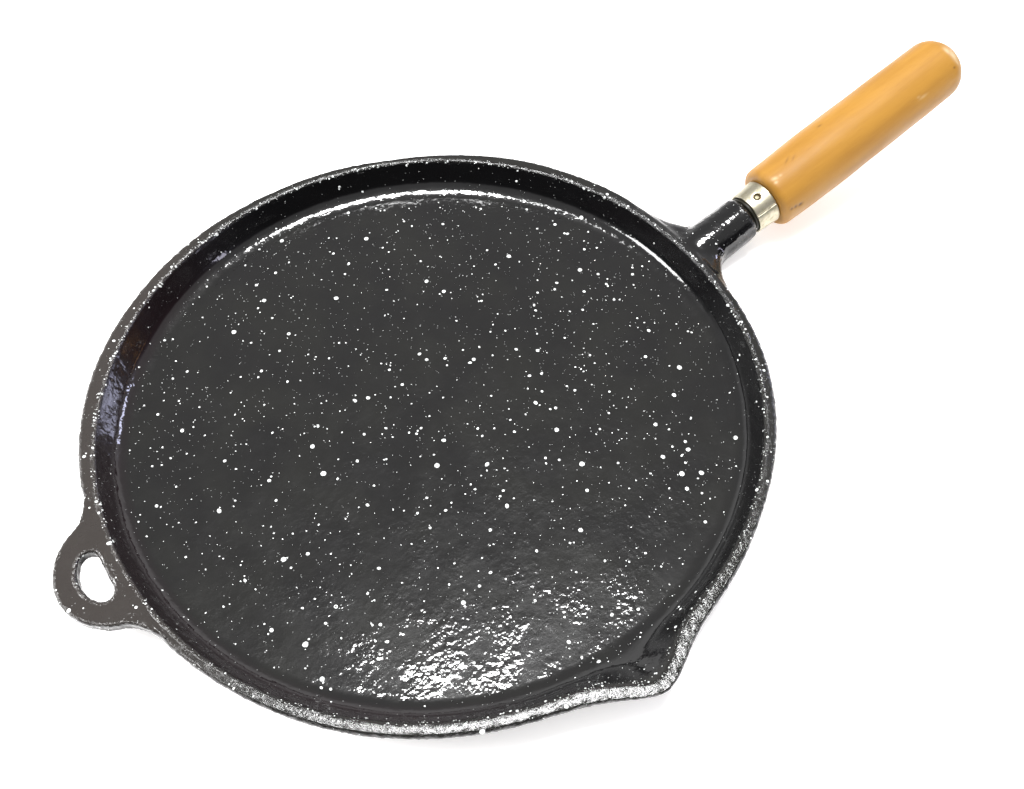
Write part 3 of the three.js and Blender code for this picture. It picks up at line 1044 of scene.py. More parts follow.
@dataclass
class EarSizes:
    """The flat hanging ear across from the handle, with its D-shaped hole."""

    radius: float = 24.5
    centre_inset: float = 4.6
    thickness: float = 5.0
    edge_round: float = 1.3
    arc_end: float = 68.0
    neck_spread: float = 15.5
    neck_pull_outer: float = 4.0
    neck_pull_rim: float = 9.0
    hole_radius: float = 15.7
    hole_flat: float = 6.0
    hole_corner: float = 3.7
    middle_inset: float = 2.0
    drop: float = 0.06
    step: float = 0.6
    across: int = 14


@dataclass
class BossSizes:
    """The cast boss that carries the handle, and the web that spreads it into the rim."""

    tilt: float = 15.5
    axis_height: float = 6.3
    length: float = 35.8
    root_radius: float = 11.7
    end_radius: float = 10.9
    end_round: float = 3.0
    underside: float = 0.8
    web_end: float = 20.0
    web_spread: float = 17.0
    web_pull_rim: float = 18.0
    web_pull_boss: float = 12.0
    web_top_drop: float = 0.3
    web_foot: float = 12.5
    web_squareness: float = 6.0
    web_fall: float = 3.0
    web_tuck: float = 0.07
    socket_radius: float = 2.8
    socket_depth: float = 22.8
    socket_overrun: float = 5.0
    socket_sides: int = 48
    clear_inside: float = 40.0
    clear_outside: float = 60.0
    clear_half_width: float = 30.0
    clear_depth: float = 40.0
    around: int = 132
    web_rings: int = 34
    barrel_rings: int = 40

    def radius_at(self, along: float) -> float:
        """The boss's radius at a distance along its axis."""
        return self.root_radius + (self.end_radius - self.root_radius) * along / self.length


@dataclass(frozen=True)
class Layer:
    """One layer of roughness: the share that masks it, how tall it is and how wide its bumps are."""

    name: str
    mask: str
    height: float
    size: float


@dataclass
class CastSkin:
    """How far a sand casting and its enamel wander from the drawn shape.

    The rim's wander pairs an angle about the pan's middle with how far the rim stands out there.
    """

    layers: tuple[Layer, ...] = (
        Layer("Wave", "free_share", 0.5, 46.0),
        Layer("Lump", "fine_share", 0.22, 9.0),
        Layer("Grain", "edge_share", 0.9, 1.7),
    )
    blend_reach: float = 4.2
    blend_rounds: int = 34
    blend_pace: float = 0.6
    rim_smoothing: float = 3.0
    rim_wander: tuple[Pair, ...] = (
        (-172, 0.0), (-160, -0.4), (-150, -0.3), (-135, 0.5), (-105, 0.6), (-75, 0.8), (-60, -0.5), (-44, 0.6),
        (-30, 1.1), (-20, 0.6), (-8, 0.0), (8, 0.0), (16, 1.5), (30, 2.2), (40, 2.6), (50, 1.4), (60, 0.1),
        (67, -1.2), (75, 0.4), (90, 0.5), (105, 1.6), (120, 2.0), (140, 2.8), (152, 2.4), (165, 1.8), (172, 0.0),
    )


@dataclass
class CastZones:
    """Where the casting's edges, walls and rim begin, and how strongly each is marked.

    A facing is the part of a corner's unit normal that points up, or inwards for walls, foot and beads.
    """

    edge_bend: Climb = Climb(0.07, 0.12)
    edge_height: float = 4.0
    wall_facing: Climb = Climb(0.25, 0.5)
    wall_radii: Pair = (120.0, 150.0)
    floor_radius: float = 131.0
    floor_heights: Pair = (3.0, 7.0)
    floor_facing: float = 0.8
    top_height: float = 9.0
    top_facing: float = 0.5
    fleck_shares: tuple[float, float, float, float] = (1.0, 0.45, 0.3, 0.3)
    crest_height: Climb = Climb(15.5, 1.5)
    crest_facing: Climb = Climb(0.5, 0.3)
    crest_end: Climb = Climb(134.0, -8.0)
    level_facing: Climb = Climb(0.7, 0.25)
    level_end: Climb = Climb(145.0, -8.0)
    foot_facing: Pair = (0.42, 0.22)
    foot_height: float = 12.0
    foot_radius: float = 130.0
    foot_side: Climb = Climb(-20.0, 40.0)
    boss_lumps: Climb = Climb(143.0, 4.0)
    boss_lump_share: float = 1.8
    wall_lump_end: float = -100.0
    wall_lump_share: float = 1.5
    dull_facing: Climb = Climb(0.5, -0.4)
    dull_start: float = 141.0
    bead_facings: Pair = (0.12, 0.85)
    bead_height: float = 16.0
    bead_radii: Pair = (132.0, 140.5)
    lip_bead_radius: float = 152.0
    lip_bead_reach: float = 14.0
    sparse_until: float = -62.0
    sparse_beads: float = 0.6
    outer_facing: float = -0.3
    outer_height: float = 15.0
    outer_middle: float = -34.0
    outer_reach: float = 20.0
    outer_beads: float = 0.4
    edge_beads: float = 0.05
    fine_radius: Climb = Climb(108.0, 8.0)
    fine_boss: float = 138.0
    fine_boss_share: float = 2.6
    free_height: Climb = Climb(0.0, 3.0)


class HandleFrame:
    """The handle's own frame: +X runs along its axis, away from the pan."""

    def __init__(self, dish: DishSizes, boss: BossSizes) -> None:
        """Places the frame on the rim.

        Args:
            dish: the dish's sizes.
            boss: the boss's sizes.
        """
        tilt = math.radians(boss.tilt)
        self.tilt = tilt
        self.origin = np.array([dish.rim_radius, 0.0, boss.axis_height])
        self.axis = np.array([math.cos(tilt), 0.0, math.sin(tilt)])
        self.up = np.array([-math.sin(tilt), 0.0, math.cos(tilt)])

    def out(self, points: Array) -> Array:
        """Carries rows or rings of points from the handle's frame into the pan's."""
        x, y, z = (points[..., k : k + 1] for k in range(3))
        return self.origin + x * self.axis + y * np.array([0.0, 1.0, 0.0]) + z * self.up


@dataclass
class PanCasting:
    """The one-piece casting: dish, pouring lip, hanging ear and handle boss."""

    dish: DishSizes = field(default_factory=DishSizes)
    lip: LipSizes = field(default_factory=LipSizes)
    ear: EarSizes = field(default_factory=EarSizes)
    boss: BossSizes = field(default_factory=BossSizes)
    skin: CastSkin = field(default_factory=CastSkin)
    zones: CastZones = field(default_factory=CastZones)

    def build(self, frame: HandleFrame, enamel: Material) -> Mesh:
        """Makes the casting's mesh.

        Args:
            frame: the handle's frame.
            enamel: its finish.

        Returns:
            The mesh, with its edge and wall shares.
        """
        dish = self.turned_dish(self.dish.outline(), enamel)
        plug = self.plug(enamel)
        ear = combine(self.ear_plate(enamel), plug, Cut.REMOVE)
        boss = self.boss
        bore = [[boss.length + end, boss.socket_radius] for end in (-boss.socket_depth, boss.socket_overrun)]
        hole = skin(frame.out(turned(np.array(bore), boss.socket_sides)), enamel)
        web = combine(skin(np.array(self.web_rings(frame)), enamel), plug, Cut.REMOVE)
        barrel = combine(skin(np.array(self.barrel_rings(frame)), enamel), plug, Cut.REMOVE)
        barrel = combine(barrel, self.underside(enamel), Cut.REMOVE)
        for part, mesh in ((0, dish), (1, ear), (2, web), (3, barrel), (3, hole)):
            mesh.materials.clear()
            for _ in range(4):
                mesh.materials.append(enamel)
            mesh.polygons.foreach_set("material_index", np.full(len(mesh.polygons), part, dtype=np.int32))
        whole = combine(combine(combine(dish, ear, Cut.JOIN), web, Cut.JOIN), barrel, Cut.JOIN)
        whole = combine(whole, hole, Cut.REMOVE)
        self.melt_joins(whole)
        self.wander(whole)
        self.mark(whole)
        return self.roughen(whole, enamel)

    def turned_dish(self, outline: Array, enamel: Material) -> Mesh:
        """Revolves a section about the upright axis and pushes the lip out of its wall.

        Args:
            outline: rows of (radius, height, share).
            enamel: its finish.

        Returns:
            The mesh.
        """
        line = bpy.data.meshes.new("section")
        points = np.stack([outline[:, 0] * MM, outline[:, 2], outline[:, 1] * MM], axis=1)
        line.from_pydata(points.tolist(), [(i, i + 1) for i in range(len(points) - 1)], [])
        with Stand(line) as carrier:
            sheet = GrowthSheet("turned_dish")
            section = sheet.size("Section", carrier, "NodeSocketObject")
            rows = sheet.size("Section Points", len(points), "NodeSocketInt")
            around = sheet.size("Segments", self.dish.segments, "NodeSocketInt")
            grid = sheet.add(
                "GeometryNodeMeshGrid",
                {"Size X": 1.0, "Size Y": 1.0, "Vertices X": sheet.math("ADD", around, 1), "Vertices Y": rows},
            )
            x, y, _ = sheet.parts(sheet.add("GeometryNodeInputPosition"))
            last_row = sheet.math("SUBTRACT", rows, 1)
            index = sheet.math("ROUND", sheet.times(sheet.math("ADD", y, 0.5), last_row))
            sample = sheet.add(
                "GeometryNodeSampleIndex",
                {
                    "Geometry": sheet.add("GeometryNodeObjectInfo", {"Object": section}, out="Geometry"),
                    "Value": sheet.add("GeometryNodeInputPosition"),
                    "Index": index,
                },
                data_type="FLOAT_VECTOR",
            )
            place = self.lip_place(sheet, sheet.times(x, 2 * math.pi), sheet.parts(sample))
            moved = sheet.add("GeometryNodeSetPosition", {"Geometry": grid, "Position": place})
            sheet.finish(sheet.add("GeometryNodeMergeByDistance", {"Geometry": moved, "Distance": 1e-6}), enamel)
            return face_out(sheet.grow())

    def lip_place(self, sheet: GrowthSheet, turn: Socket, section: tuple[Socket, Socket, Socket]) -> Socket:
        """Draws where a point of the section goes at an angle from the lip.

        Args:
            sheet: the tree.
            turn: the angle from the lip before the points are crowded towards it.
            section: the point's radius, its share between outside and inside, and its height.

        Returns:
            The point's place.
        """
        radius, share, height = section
        lip = self.lip
        azimuth = sheet.size("Lip Azimuth", math.radians(lip.azimuth))
        crowding = sheet.size("Lip Crowding", lip.crowding)
        reach = self.between(sheet, share, "Lip Reach", lip.reach, "Trough Reach", lip.trough_reach)
        half_widths = ("Lip Half Width", lip.half_width, "Trough Half Width", lip.trough_half_width)
        width = self.between(sheet, share, *half_widths)
        foot = sheet.times(share, sheet.size("Floor Thickness", self.dish.floor * MM))
        rim_height = sheet.size("Rim Height", self.dish.rim_height * MM)
        rim_radius = sheet.size("Rim Radius", self.dish.rim_radius)
        crowded = sheet.math("SUBTRACT", turn, sheet.times(crowding, sheet.math("SINE", turn)))
        arc = sheet.math("DIVIDE", sheet.times(sheet.math("ABSOLUTE", crowded), rim_radius), width)
        bell = sheet.math("POWER", 0.5, sheet.math("POWER", arc, sheet.size("Lip Sharpness", lip.sharpness)))
        climb = sheet.math("DIVIDE", sheet.math("SUBTRACT", height, foot), sheet.math("SUBTRACT", rim_height, foot))
        climb = sheet.math("MINIMUM", sheet.math("MAXIMUM", climb, 0.0), 1.0)
        rise = sheet.math("POWER", climb, sheet.size("Lip Rise Power", lip.rise_power))
        push = sheet.times(sheet.times(reach, MM), sheet.times(bell, rise))
        pushed = sheet.math("ADD", radius, push)
        angle = sheet.math("ADD", azimuth, crowded)
        across = sheet.times(pushed, sheet.math("COSINE", angle))
        along = sheet.times(pushed, sheet.math("SINE", angle))
        return sheet.add("ShaderNodeCombineXYZ", (across, along, height))

    @staticmethod
    def between(sheet: GrowthSheet, share: Socket, low: str, start: float, high: str, end: float) -> Socket:
        """Blends two named sizes by a share.

        Args:
            sheet: the tree.
            share: 0 for the first, 1 for the second.
            low: the first size's name.
            start: the first size.
            high: the second size's name.
            end: the second size.

        Returns:
            The blended size.
        """
        first = sheet.size(low, start)
        step = sheet.math("SUBTRACT", sheet.size(high, end), first)
        return sheet.math("MULTIPLY_ADD", step, share, first)

    def plug(self, enamel: Material) -> Mesh:
        """Fills the dish to the middle of its wall, so that what joins the wall from outside ends inside it.

        Args:
            enamel: a finish to carry.

        Returns:
            The plug.
        """
        dish, margin, sides = self.dish, 5.0, 360
        angle = np.linspace(0, 2 * math.pi, sides, endpoint=False)
        middle, top = dish.rim_corner - dish.wall_across / 2, dish.rim_height + margin
        rings = []
        for radius, height in ((middle - dish.lean * top, -margin), (middle + dish.lean * margin, top)):
            rings.append([radius * np.cos(angle), radius * np.sin(angle), np.full_like(angle, height)])
        return skin(np.array(rings).transpose(0, 2, 1), enamel)

    def ear_plate(self, enamel: Material) -> Mesh:
        """Makes the ear as one ring around its hole, with rounded edges.

        Args:
            enamel: its finish.

        Returns:
            The plate, still with its root inside the dish.
        """
        ear, dish = self.ear, self.dish
        centre = dish.rim_radius - ear.centre_inset
        middle = np.array([centre + ear.hole_flat + ear.middle_inset, 0.0])
        half = divide(self.ear_border(centre), ear.step)
        border = np.vstack([half, half[-2:0:-1] * (1, -1)])
        away = border - middle
        turn = np.arctan2(away[:, 1], away[:, 0])
        reach = self.reach_at(self.ear_hole(centre), middle[0], turn)
        hole = middle + reach[:, None] * np.stack([np.cos(turn), np.sin(turn)], axis=1)
        points = []
        for row, height in self.plate_section(hole, border):
            top = np.full(len(row), dish.rim_height - ear.drop + height)
            points.append(np.stack([-row[:, 0], -row[:, 1], top], axis=1))
        return skin(np.array(points), enamel, looped=True)

    def plate_section(self, hole: Array, border: Array) -> list[tuple[Array, float]]:
        """Draws the ear's section, over the top from the hole to the border and back below.

        Args:
            hole: the hole's outline.
            border: the border, point by point across from the hole's.

        Returns:
            Outlines and their height from the top, row by row.
        """
        edge, deep = self.ear.edge_round, self.ear.thickness
        from_hole, from_border = outward(hole) * edge, outward(border) * edge
        inner, outer = hole + from_hole, border - from_border
        arc = np.linspace(0, math.pi / 2, 6)
        flat = np.linspace(0, 1, self.ear.across + 1)[1:-1]
        rows = [(inner - from_hole * math.cos(a), edge * math.sin(a) - edge) for a in arc]
        rows += [(inner + (outer - inner) * share, 0.0) for share in flat]
        rows += [(outer + from_border * math.sin(a), edge * math.cos(a) - edge) for a in arc]
        rows += [(outer + from_border * math.cos(a), edge - deep - edge * math.sin(a)) for a in arc]
        rows += [(outer + (inner - outer) * share, -deep) for share in flat]
        rows += [(inner - from_hole * math.sin(a), edge - deep - edge * math.cos(a)) for a in arc]
        return rows

    def ear_border(self, centre: float) -> Array:
        """Draws the upper half of the ear's border in its own frame, where +X points away from the pan.

        Args:
            centre: where the middle of its arc lies.

        Returns:
            The points from its far side to its root.
        """
        ear, dish = self.ear, self.dish
        end = math.radians(ear.arc_end)
        spread = math.radians(ear.neck_spread)
        arc_end = polar(ear.radius, end) + (centre, 0)
        rim_end = polar(dish.rim_radius, spread)
        leave = polar(ear.neck_pull_outer, end + math.pi / 2) + arc_end
        reach = polar(ear.neck_pull_rim, spread - math.pi / 2) + rim_end
        neck = bezier((arc_end, leave, reach, rim_end), 60)
        root = polar(dish.rim_corner - dish.wall_across, spread)
        arc = np.array([polar(ear.radius, a) + (centre, 0) for a in np.linspace(0, end, 90)])
        return np.vstack([arc[:-1], neck, root[None], [[root[0], 0.0]]])

    def ear_hole(self, centre: float) -> Array:
        """Draws the upper half of the D-shaped hole.

        Args:
            centre: where the middle of its arc lies.

        Returns:
            The points from its far side to its flat side.
        """
        ear = self.ear
        corner_x = ear.hole_flat + ear.hole_corner
        corner_y = math.sqrt((ear.hole_radius - ear.hole_corner) ** 2 - corner_x**2)
        turn = math.atan2(corner_y, corner_x)
        arc = [polar(ear.hole_radius, a) for a in np.linspace(0, turn, 40)]
        bend = [polar(ear.hole_corner, a) + (corner_x, corner_y) for a in np.linspace(turn, math.pi, 24)[1:]]
        flat = [np.array([ear.hole_flat, y]) for y in np.linspace(corner_y, 0, 12)[1:]]
        return np.array(arc + bend + flat) + (centre, 0)

    @staticmethod
    def reach_at(half: Array, middle: float, turn: Array) -> Array:
        """Reads a border's distance from a middle at given angles.

        Args:
            half: the points of its upper half.
            middle: the X that the angles turn about.
            turn: the angles.

        Returns:
            The distances.
        """
        away = half - (middle, 0)
        angle = np.arctan2(away[:, 1], away[:, 0])
        return np.interp(np.abs(turn), angle, np.hypot(away[:, 0], away[:, 1]))

    def underside(self, enamel: Material) -> Mesh:
        """Makes the block that is cut from the boss to keep it clear of the table.

        Args:
            enamel: a finish to carry.

        Returns:
            The block.
        """
        boss, rim = self.boss, self.dish.rim_radius
        near, far, y = rim - boss.clear_inside, rim + boss.clear_outside, boss.clear_half_width
        heights = (-boss.clear_depth, boss.underside)
        rings = [[(near, -y, z), (far, -y, z), (far, y, z), (near, y, z)] for z in heights]
        return skin(np.array(rings), enamel)

    def boss_ring(self, centre: Array, up: Array, half: Pair, power: float) -> Array:
        """Draws one section of the boss, squarer as its power grows.

        Args:
            centre: its middle.
            up: its upward direction.
            half: half its width and half its height.
            power: 2 for an ellipse, more for a squarer ring.

        Returns:
            The ring's points.
        """
        angle = np.linspace(0, 2 * math.pi, self.boss.around, endpoint=False)
        across, along = np.cos(angle), np.sin(angle)
        y = np.sign(across) * np.abs(across) ** (2 / power) * half[0]
        v = np.sign(along) * np.abs(along) ** (2 / power) * half[1]
        return centre + y[:, None] * np.array([0.0, 1.0, 0.0]) + v[:, None] * up

    def web_rings(self, frame: HandleFrame) -> list[Array]:
        """Draws upright sections that spread from the round boss into the rim.

        Args:
            frame: the handle's frame.

        Returns:
            The rings, from the rim outwards.
        """
        boss, dish = self.boss, self.dish
        cosine = math.cos(frame.tilt)
        spread = math.radians(boss.web_spread)
        rim = polar(dish.rim_radius, spread)
        end = np.array([dish.rim_radius + boss.web_end * cosine, boss.radius_at(boss.web_end)])
        leave = polar(boss.web_pull_rim, spread - math.pi / 2) + rim
        flank = bezier((rim, leave, end - (boss.web_pull_boss, 0), end), boss.web_rings)
        rings = []
        for step, (x, y) in enumerate(flank):
            share = step / boss.web_rings
            axis = boss.axis_height + (x - dish.rim_radius) * math.tan(frame.tilt)
            radius = boss.radius_at((x - dish.rim_radius) / cosine) / cosine
            top = dish.rim_height - boss.web_top_drop - boss.web_fall * share
            foot = boss.web_foot + (boss.underside - boss.web_foot) * share
            bottom = max(foot, axis - radius)
            power = boss.web_squareness + (2 - boss.web_squareness) * math.sqrt(share)
            centre = np.array([x, 0.0, (top + bottom) / 2])
            half = (y * (1 - boss.web_tuck * share**2), (top - bottom) / 2)
            rings.append(self.boss_ring(centre, np.array([0.0, 0.0, 1.0]), half, power))
        return rings

    def barrel_rings(self, frame: HandleFrame) -> list[Array]:
        """Draws round sections square to the axis, from inside the wall to a rounded edge.

        Args:
            frame: the handle's frame.

        Returns:
            The rings, outwards.
        """
        boss = self.boss
        start = boss.length - boss.end_round
        plain = np.linspace(-boss.root_radius, start, boss.barrel_rings)
        turn = np.linspace(0, math.pi / 2, 8)[1:]
        along = np.concatenate([plain, start + boss.end_round * np.sin(turn)])
        shrink = np.concatenate([plain * 0, boss.end_round * (1 - np.cos(turn))])
        rings = []
        for place, less in zip(along, shrink):
            radius = boss.radius_at(place) - less
            centre = frame.origin + place * frame.axis
            rings.append(self.boss_ring(centre, frame.up, (radius, radius), 2.0))
        return rings

    def melt_joins(self, whole: Mesh) -> None:
        """Rounds the joins between dish, ear and boss, as thick enamel and the moulder's fillets do.

        Args:
            whole: the joined mesh, whose faces still carry the number of their part.
        """
        joint = np.zeros(len(whole.vertices), dtype=bool)
        parts: dict[tuple[int, int], int] = {}
        for face in whole.polygons:
            for key in face.edge_keys:
                if parts.setdefault(key, face.material_index) != face.material_index:
                    joint[list(key)] = True
        points = places(whole)
        tree = kdtree.KDTree(int(joint.sum()))
        for i, point in enumerate(points[joint]):
            tree.insert(point, i)
        tree.balance()
        low, high = points[joint].min(axis=0), points[joint].max(axis=0)
        reach = self.skin.blend_reach
        close = np.flatnonzero(np.abs(points[:, 0]) > min(abs(low[0]), abs(high[0])) - reach)
        share = np.zeros(len(points))
        for i in close:
            share[i] = max(0.0, 1 - tree.find(points[i])[2] / reach)
        share = (share * share * (3 - 2 * share))[:, None]
        around = Neighbours(whole)
        for _ in range(self.skin.blend_rounds):
            points += share * self.skin.blend_pace * (around.mean(points) - points)
        move_to(whole, points)
        whole.polygons.foreach_set("material_index", np.zeros(len(whole.polygons), dtype=np.int32))
        while len(whole.materials) > 1:
            whole.materials.pop()

    def wander(self, whole: Mesh) -> None:
        """Lets the rim wander in and out of its circle, as the pattern of this casting did.

        Args:
            whole: the casting's mesh.
        """
        points = places(whole)
        degrees = np.arange(-180.0, 180.0)
        table = np.array(self.skin.rim_wander)
        offset = np.interp(degrees, table[:, 0], table[:, 1], period=360)
        reach = round(6 * self.skin.rim_smoothing)
        window = np.exp(-0.5 * (np.arange(-reach, reach + 1) / self.skin.rim_smoothing) ** 2)
        circle = np.concatenate([offset[-reach:], offset, offset[:reach]])
        offset = np.convolve(circle, window / window.sum(), "valid")
        azimuth = np.degrees(np.arctan2(points[:, 1], points[:, 0]))
        radius = np.hypot(points[:, 0], points[:, 1])
        out = np.interp(azimuth, degrees, offset, period=360)
        dish = self.dish
        inside = dish.rim_corner - dish.wall_across - dish.lean * (dish.rim_height - points[:, 2])
        out *= np.clip((radius - inside) / dish.wall_across, 0, 1) * np.clip(points[:, 2] / dish.rim_height, 0, 1)
        points[:, :2] *= (1 + out / np.maximum(radius, 1))[:, None]
        move_to(whole, points)

    def mark(self, whole: Mesh) -> None:
        """Stores where the edges, walls, rough skin and flecks are.

        Args:
            whole: the casting's mesh.
        """
        zones, points, normals = self.zones, places(whole), read(whole, "normal")
        x, y, z, up = points[:, 0], points[:, 1], points[:, 2], normals[:, 2]
        radius = np.hypot(x, y)
        facing_in = -(points[:, :2] * normals[:, :2]).sum(axis=1) / np.maximum(radius, 1)
        edge = self.edges(Neighbours(whole), points, normals)
        wall = zones.wall_facing.at(facing_in) * (radius > zones.wall_radii[0]) * (radius < zones.wall_radii[1])
        floor = (radius < zones.floor_radius) & (z > zones.floor_heights[0]) & (z < zones.floor_heights[1])
        floor &= up > zones.floor_facing
        top = (z > zones.top_height) & (up > zones.top_facing)
        on_floor, on_top, on_side, on_edge = zones.fleck_shares
        foot = np.exp(-(((facing_in - zones.foot_facing[0]) / zones.foot_facing[1]) ** 2))
        foot = foot * (z < zones.foot_height) * (radius < zones.foot_radius) * zones.foot_side.at(y)
        boss_lumps = zones.boss_lump_share * zones.boss_lumps.at(x)
        wall_lumps = zones.wall_lump_share * wall * (x < zones.wall_lump_end)
        for name, values in {
            "edge_share": edge,
            "wall_share": wall,
            "crest_share": zones.crest_height.at(z) * zones.crest_facing.at(up) * zones.crest_end.at(x),
            "level_share": zones.level_facing.at(up) * zones.level_end.at(x),
            "foot_share": np.maximum(foot, np.maximum(boss_lumps, wall_lumps)),
            "dull_share": zones.dull_facing.at(up) * ((x > zones.dull_start) | (up < 0)),
            "bead_share": self.beads(points, radius, facing_in, edge),
            "fleck_share": np.where(floor, on_floor, np.where(top, on_top, on_side)) + on_edge * edge,
            "fine_share": zones.fine_radius.at(radius) * np.where(x > zones.fine_boss, zones.fine_boss_share, 1.0),
            "free_share": zones.free_height.at(z),
        }.items():
            write_share(whole, name, values)

    def edges(self, around: Neighbours, points: Array, normals: Array) -> Array:
        """Finds where the casting bends outwards sharply, above its base.

        Args:
            around: which corners an edge joins.
            points: the corners.
            normals: the direction that each faces.

        Returns:
            A share for each corner.
        """
        bend = np.zeros(len(points))
        for near, far in (around.pairs.T, around.pairs.T[::-1]):
            span = points[near] - points[far]
            square = np.maximum((span * span).sum(axis=1), 1e-4)
            bend += np.bincount(near, np.clip(2 * (span * normals[near]).sum(axis=1) / square, -1, 1.5), len(points))
        edge = self.zones.edge_bend.at(bend / around.degree)
        return (0.5 * edge + 0.5 * around.mean(edge)) * (points[:, 2] > self.zones.edge_height)

    def beads(self, points: Array, radius: Array, facing_in: Array, edge: Array) -> Array:
        """Finds where the enamel ran into beads, in clumps below the rim and on a stretch of its outside.

        Args:
            points: the corners.
            radius: their distance from the pan's axis.
            facing_in: how far each faces the axis.
            edge: how sharply the casting bends there.

        Returns:
            A share for each corner.
        """
        zones, z = self.zones, points[:, 2]
        azimuth = np.degrees(np.arctan2(points[:, 1], points[:, 0]))
        clump = 0.55 + 0.45 * np.sin(azimuth / 3.1) * np.sin(azimuth / 1.37 + 1)
        at_lip = np.abs(azimuth - self.lip.azimuth) < zones.lip_bead_reach
        mouth = np.where(at_lip, zones.lip_bead_radius, zones.bead_radii[1])
        inner = (radius > zones.bead_radii[0]) & (radius < mouth)
        inner &= (facing_in > zones.bead_facings[0]) & (facing_in < zones.bead_facings[1]) & (z > zones.bead_height)
        outer = (facing_in < zones.outer_facing) & (z > zones.outer_height)
        outer &= np.abs(azimuth - zones.outer_middle) < zones.outer_reach
        dense = np.where(azimuth > zones.sparse_until, 1.0, zones.sparse_beads)
        return clump * (inner * dense + zones.outer_beads * outer + zones.edge_beads * (edge > 0.4))

    def roughen(self, whole: Mesh, enamel: Material) -> Mesh:
        """Lets the cast surface rise and fall, with a coarse grain along its edges.

        Args:
            whole: the casting's mesh.
            enamel: its finish.

        Returns:
            The finished mesh.
        """
        sheet = GrowthSheet("cast_skin")
        place = sheet.add("GeometryNodeInputPosition")
        facing = sheet.add("GeometryNodeInputNormal")
        heights = []
        for layer in self.skin.layers:
            pitch = sheet.size(f"{layer.name} Pitch", 1 / (layer.size * MM))
            pattern = sheet.add("ShaderNodeTexNoise", {"Vector": place, "Scale": pitch, "Detail": 2.0})
            centred = sheet.math("SUBTRACT", pattern, 0.5)
            scaled = sheet.times(centred, sheet.size(f"{layer.name} Height", layer.height * MM))
            heights.append(sheet.times(scaled, sheet.share(layer.mask)))
        raised = sheet.math("ADD", sheet.math("ADD", heights[0], heights[1]), heights[2])
        height = sheet.times(raised, sheet.share("free_share"))
        offset = sheet.add("ShaderNodeVectorMath", {"Vector": facing, "Scale": height}, operation="SCALE")
        moved = sheet.add("GeometryNodeSetPosition", {"Geometry": sheet.start, "Offset": offset})
        sheet.finish(moved, enamel)
        return sheet.grow(whole)


class FleckForm(Enum):
    """How a fleck of frit melted."""

    DOME = "dome"
    HOLLOW = "hollow"


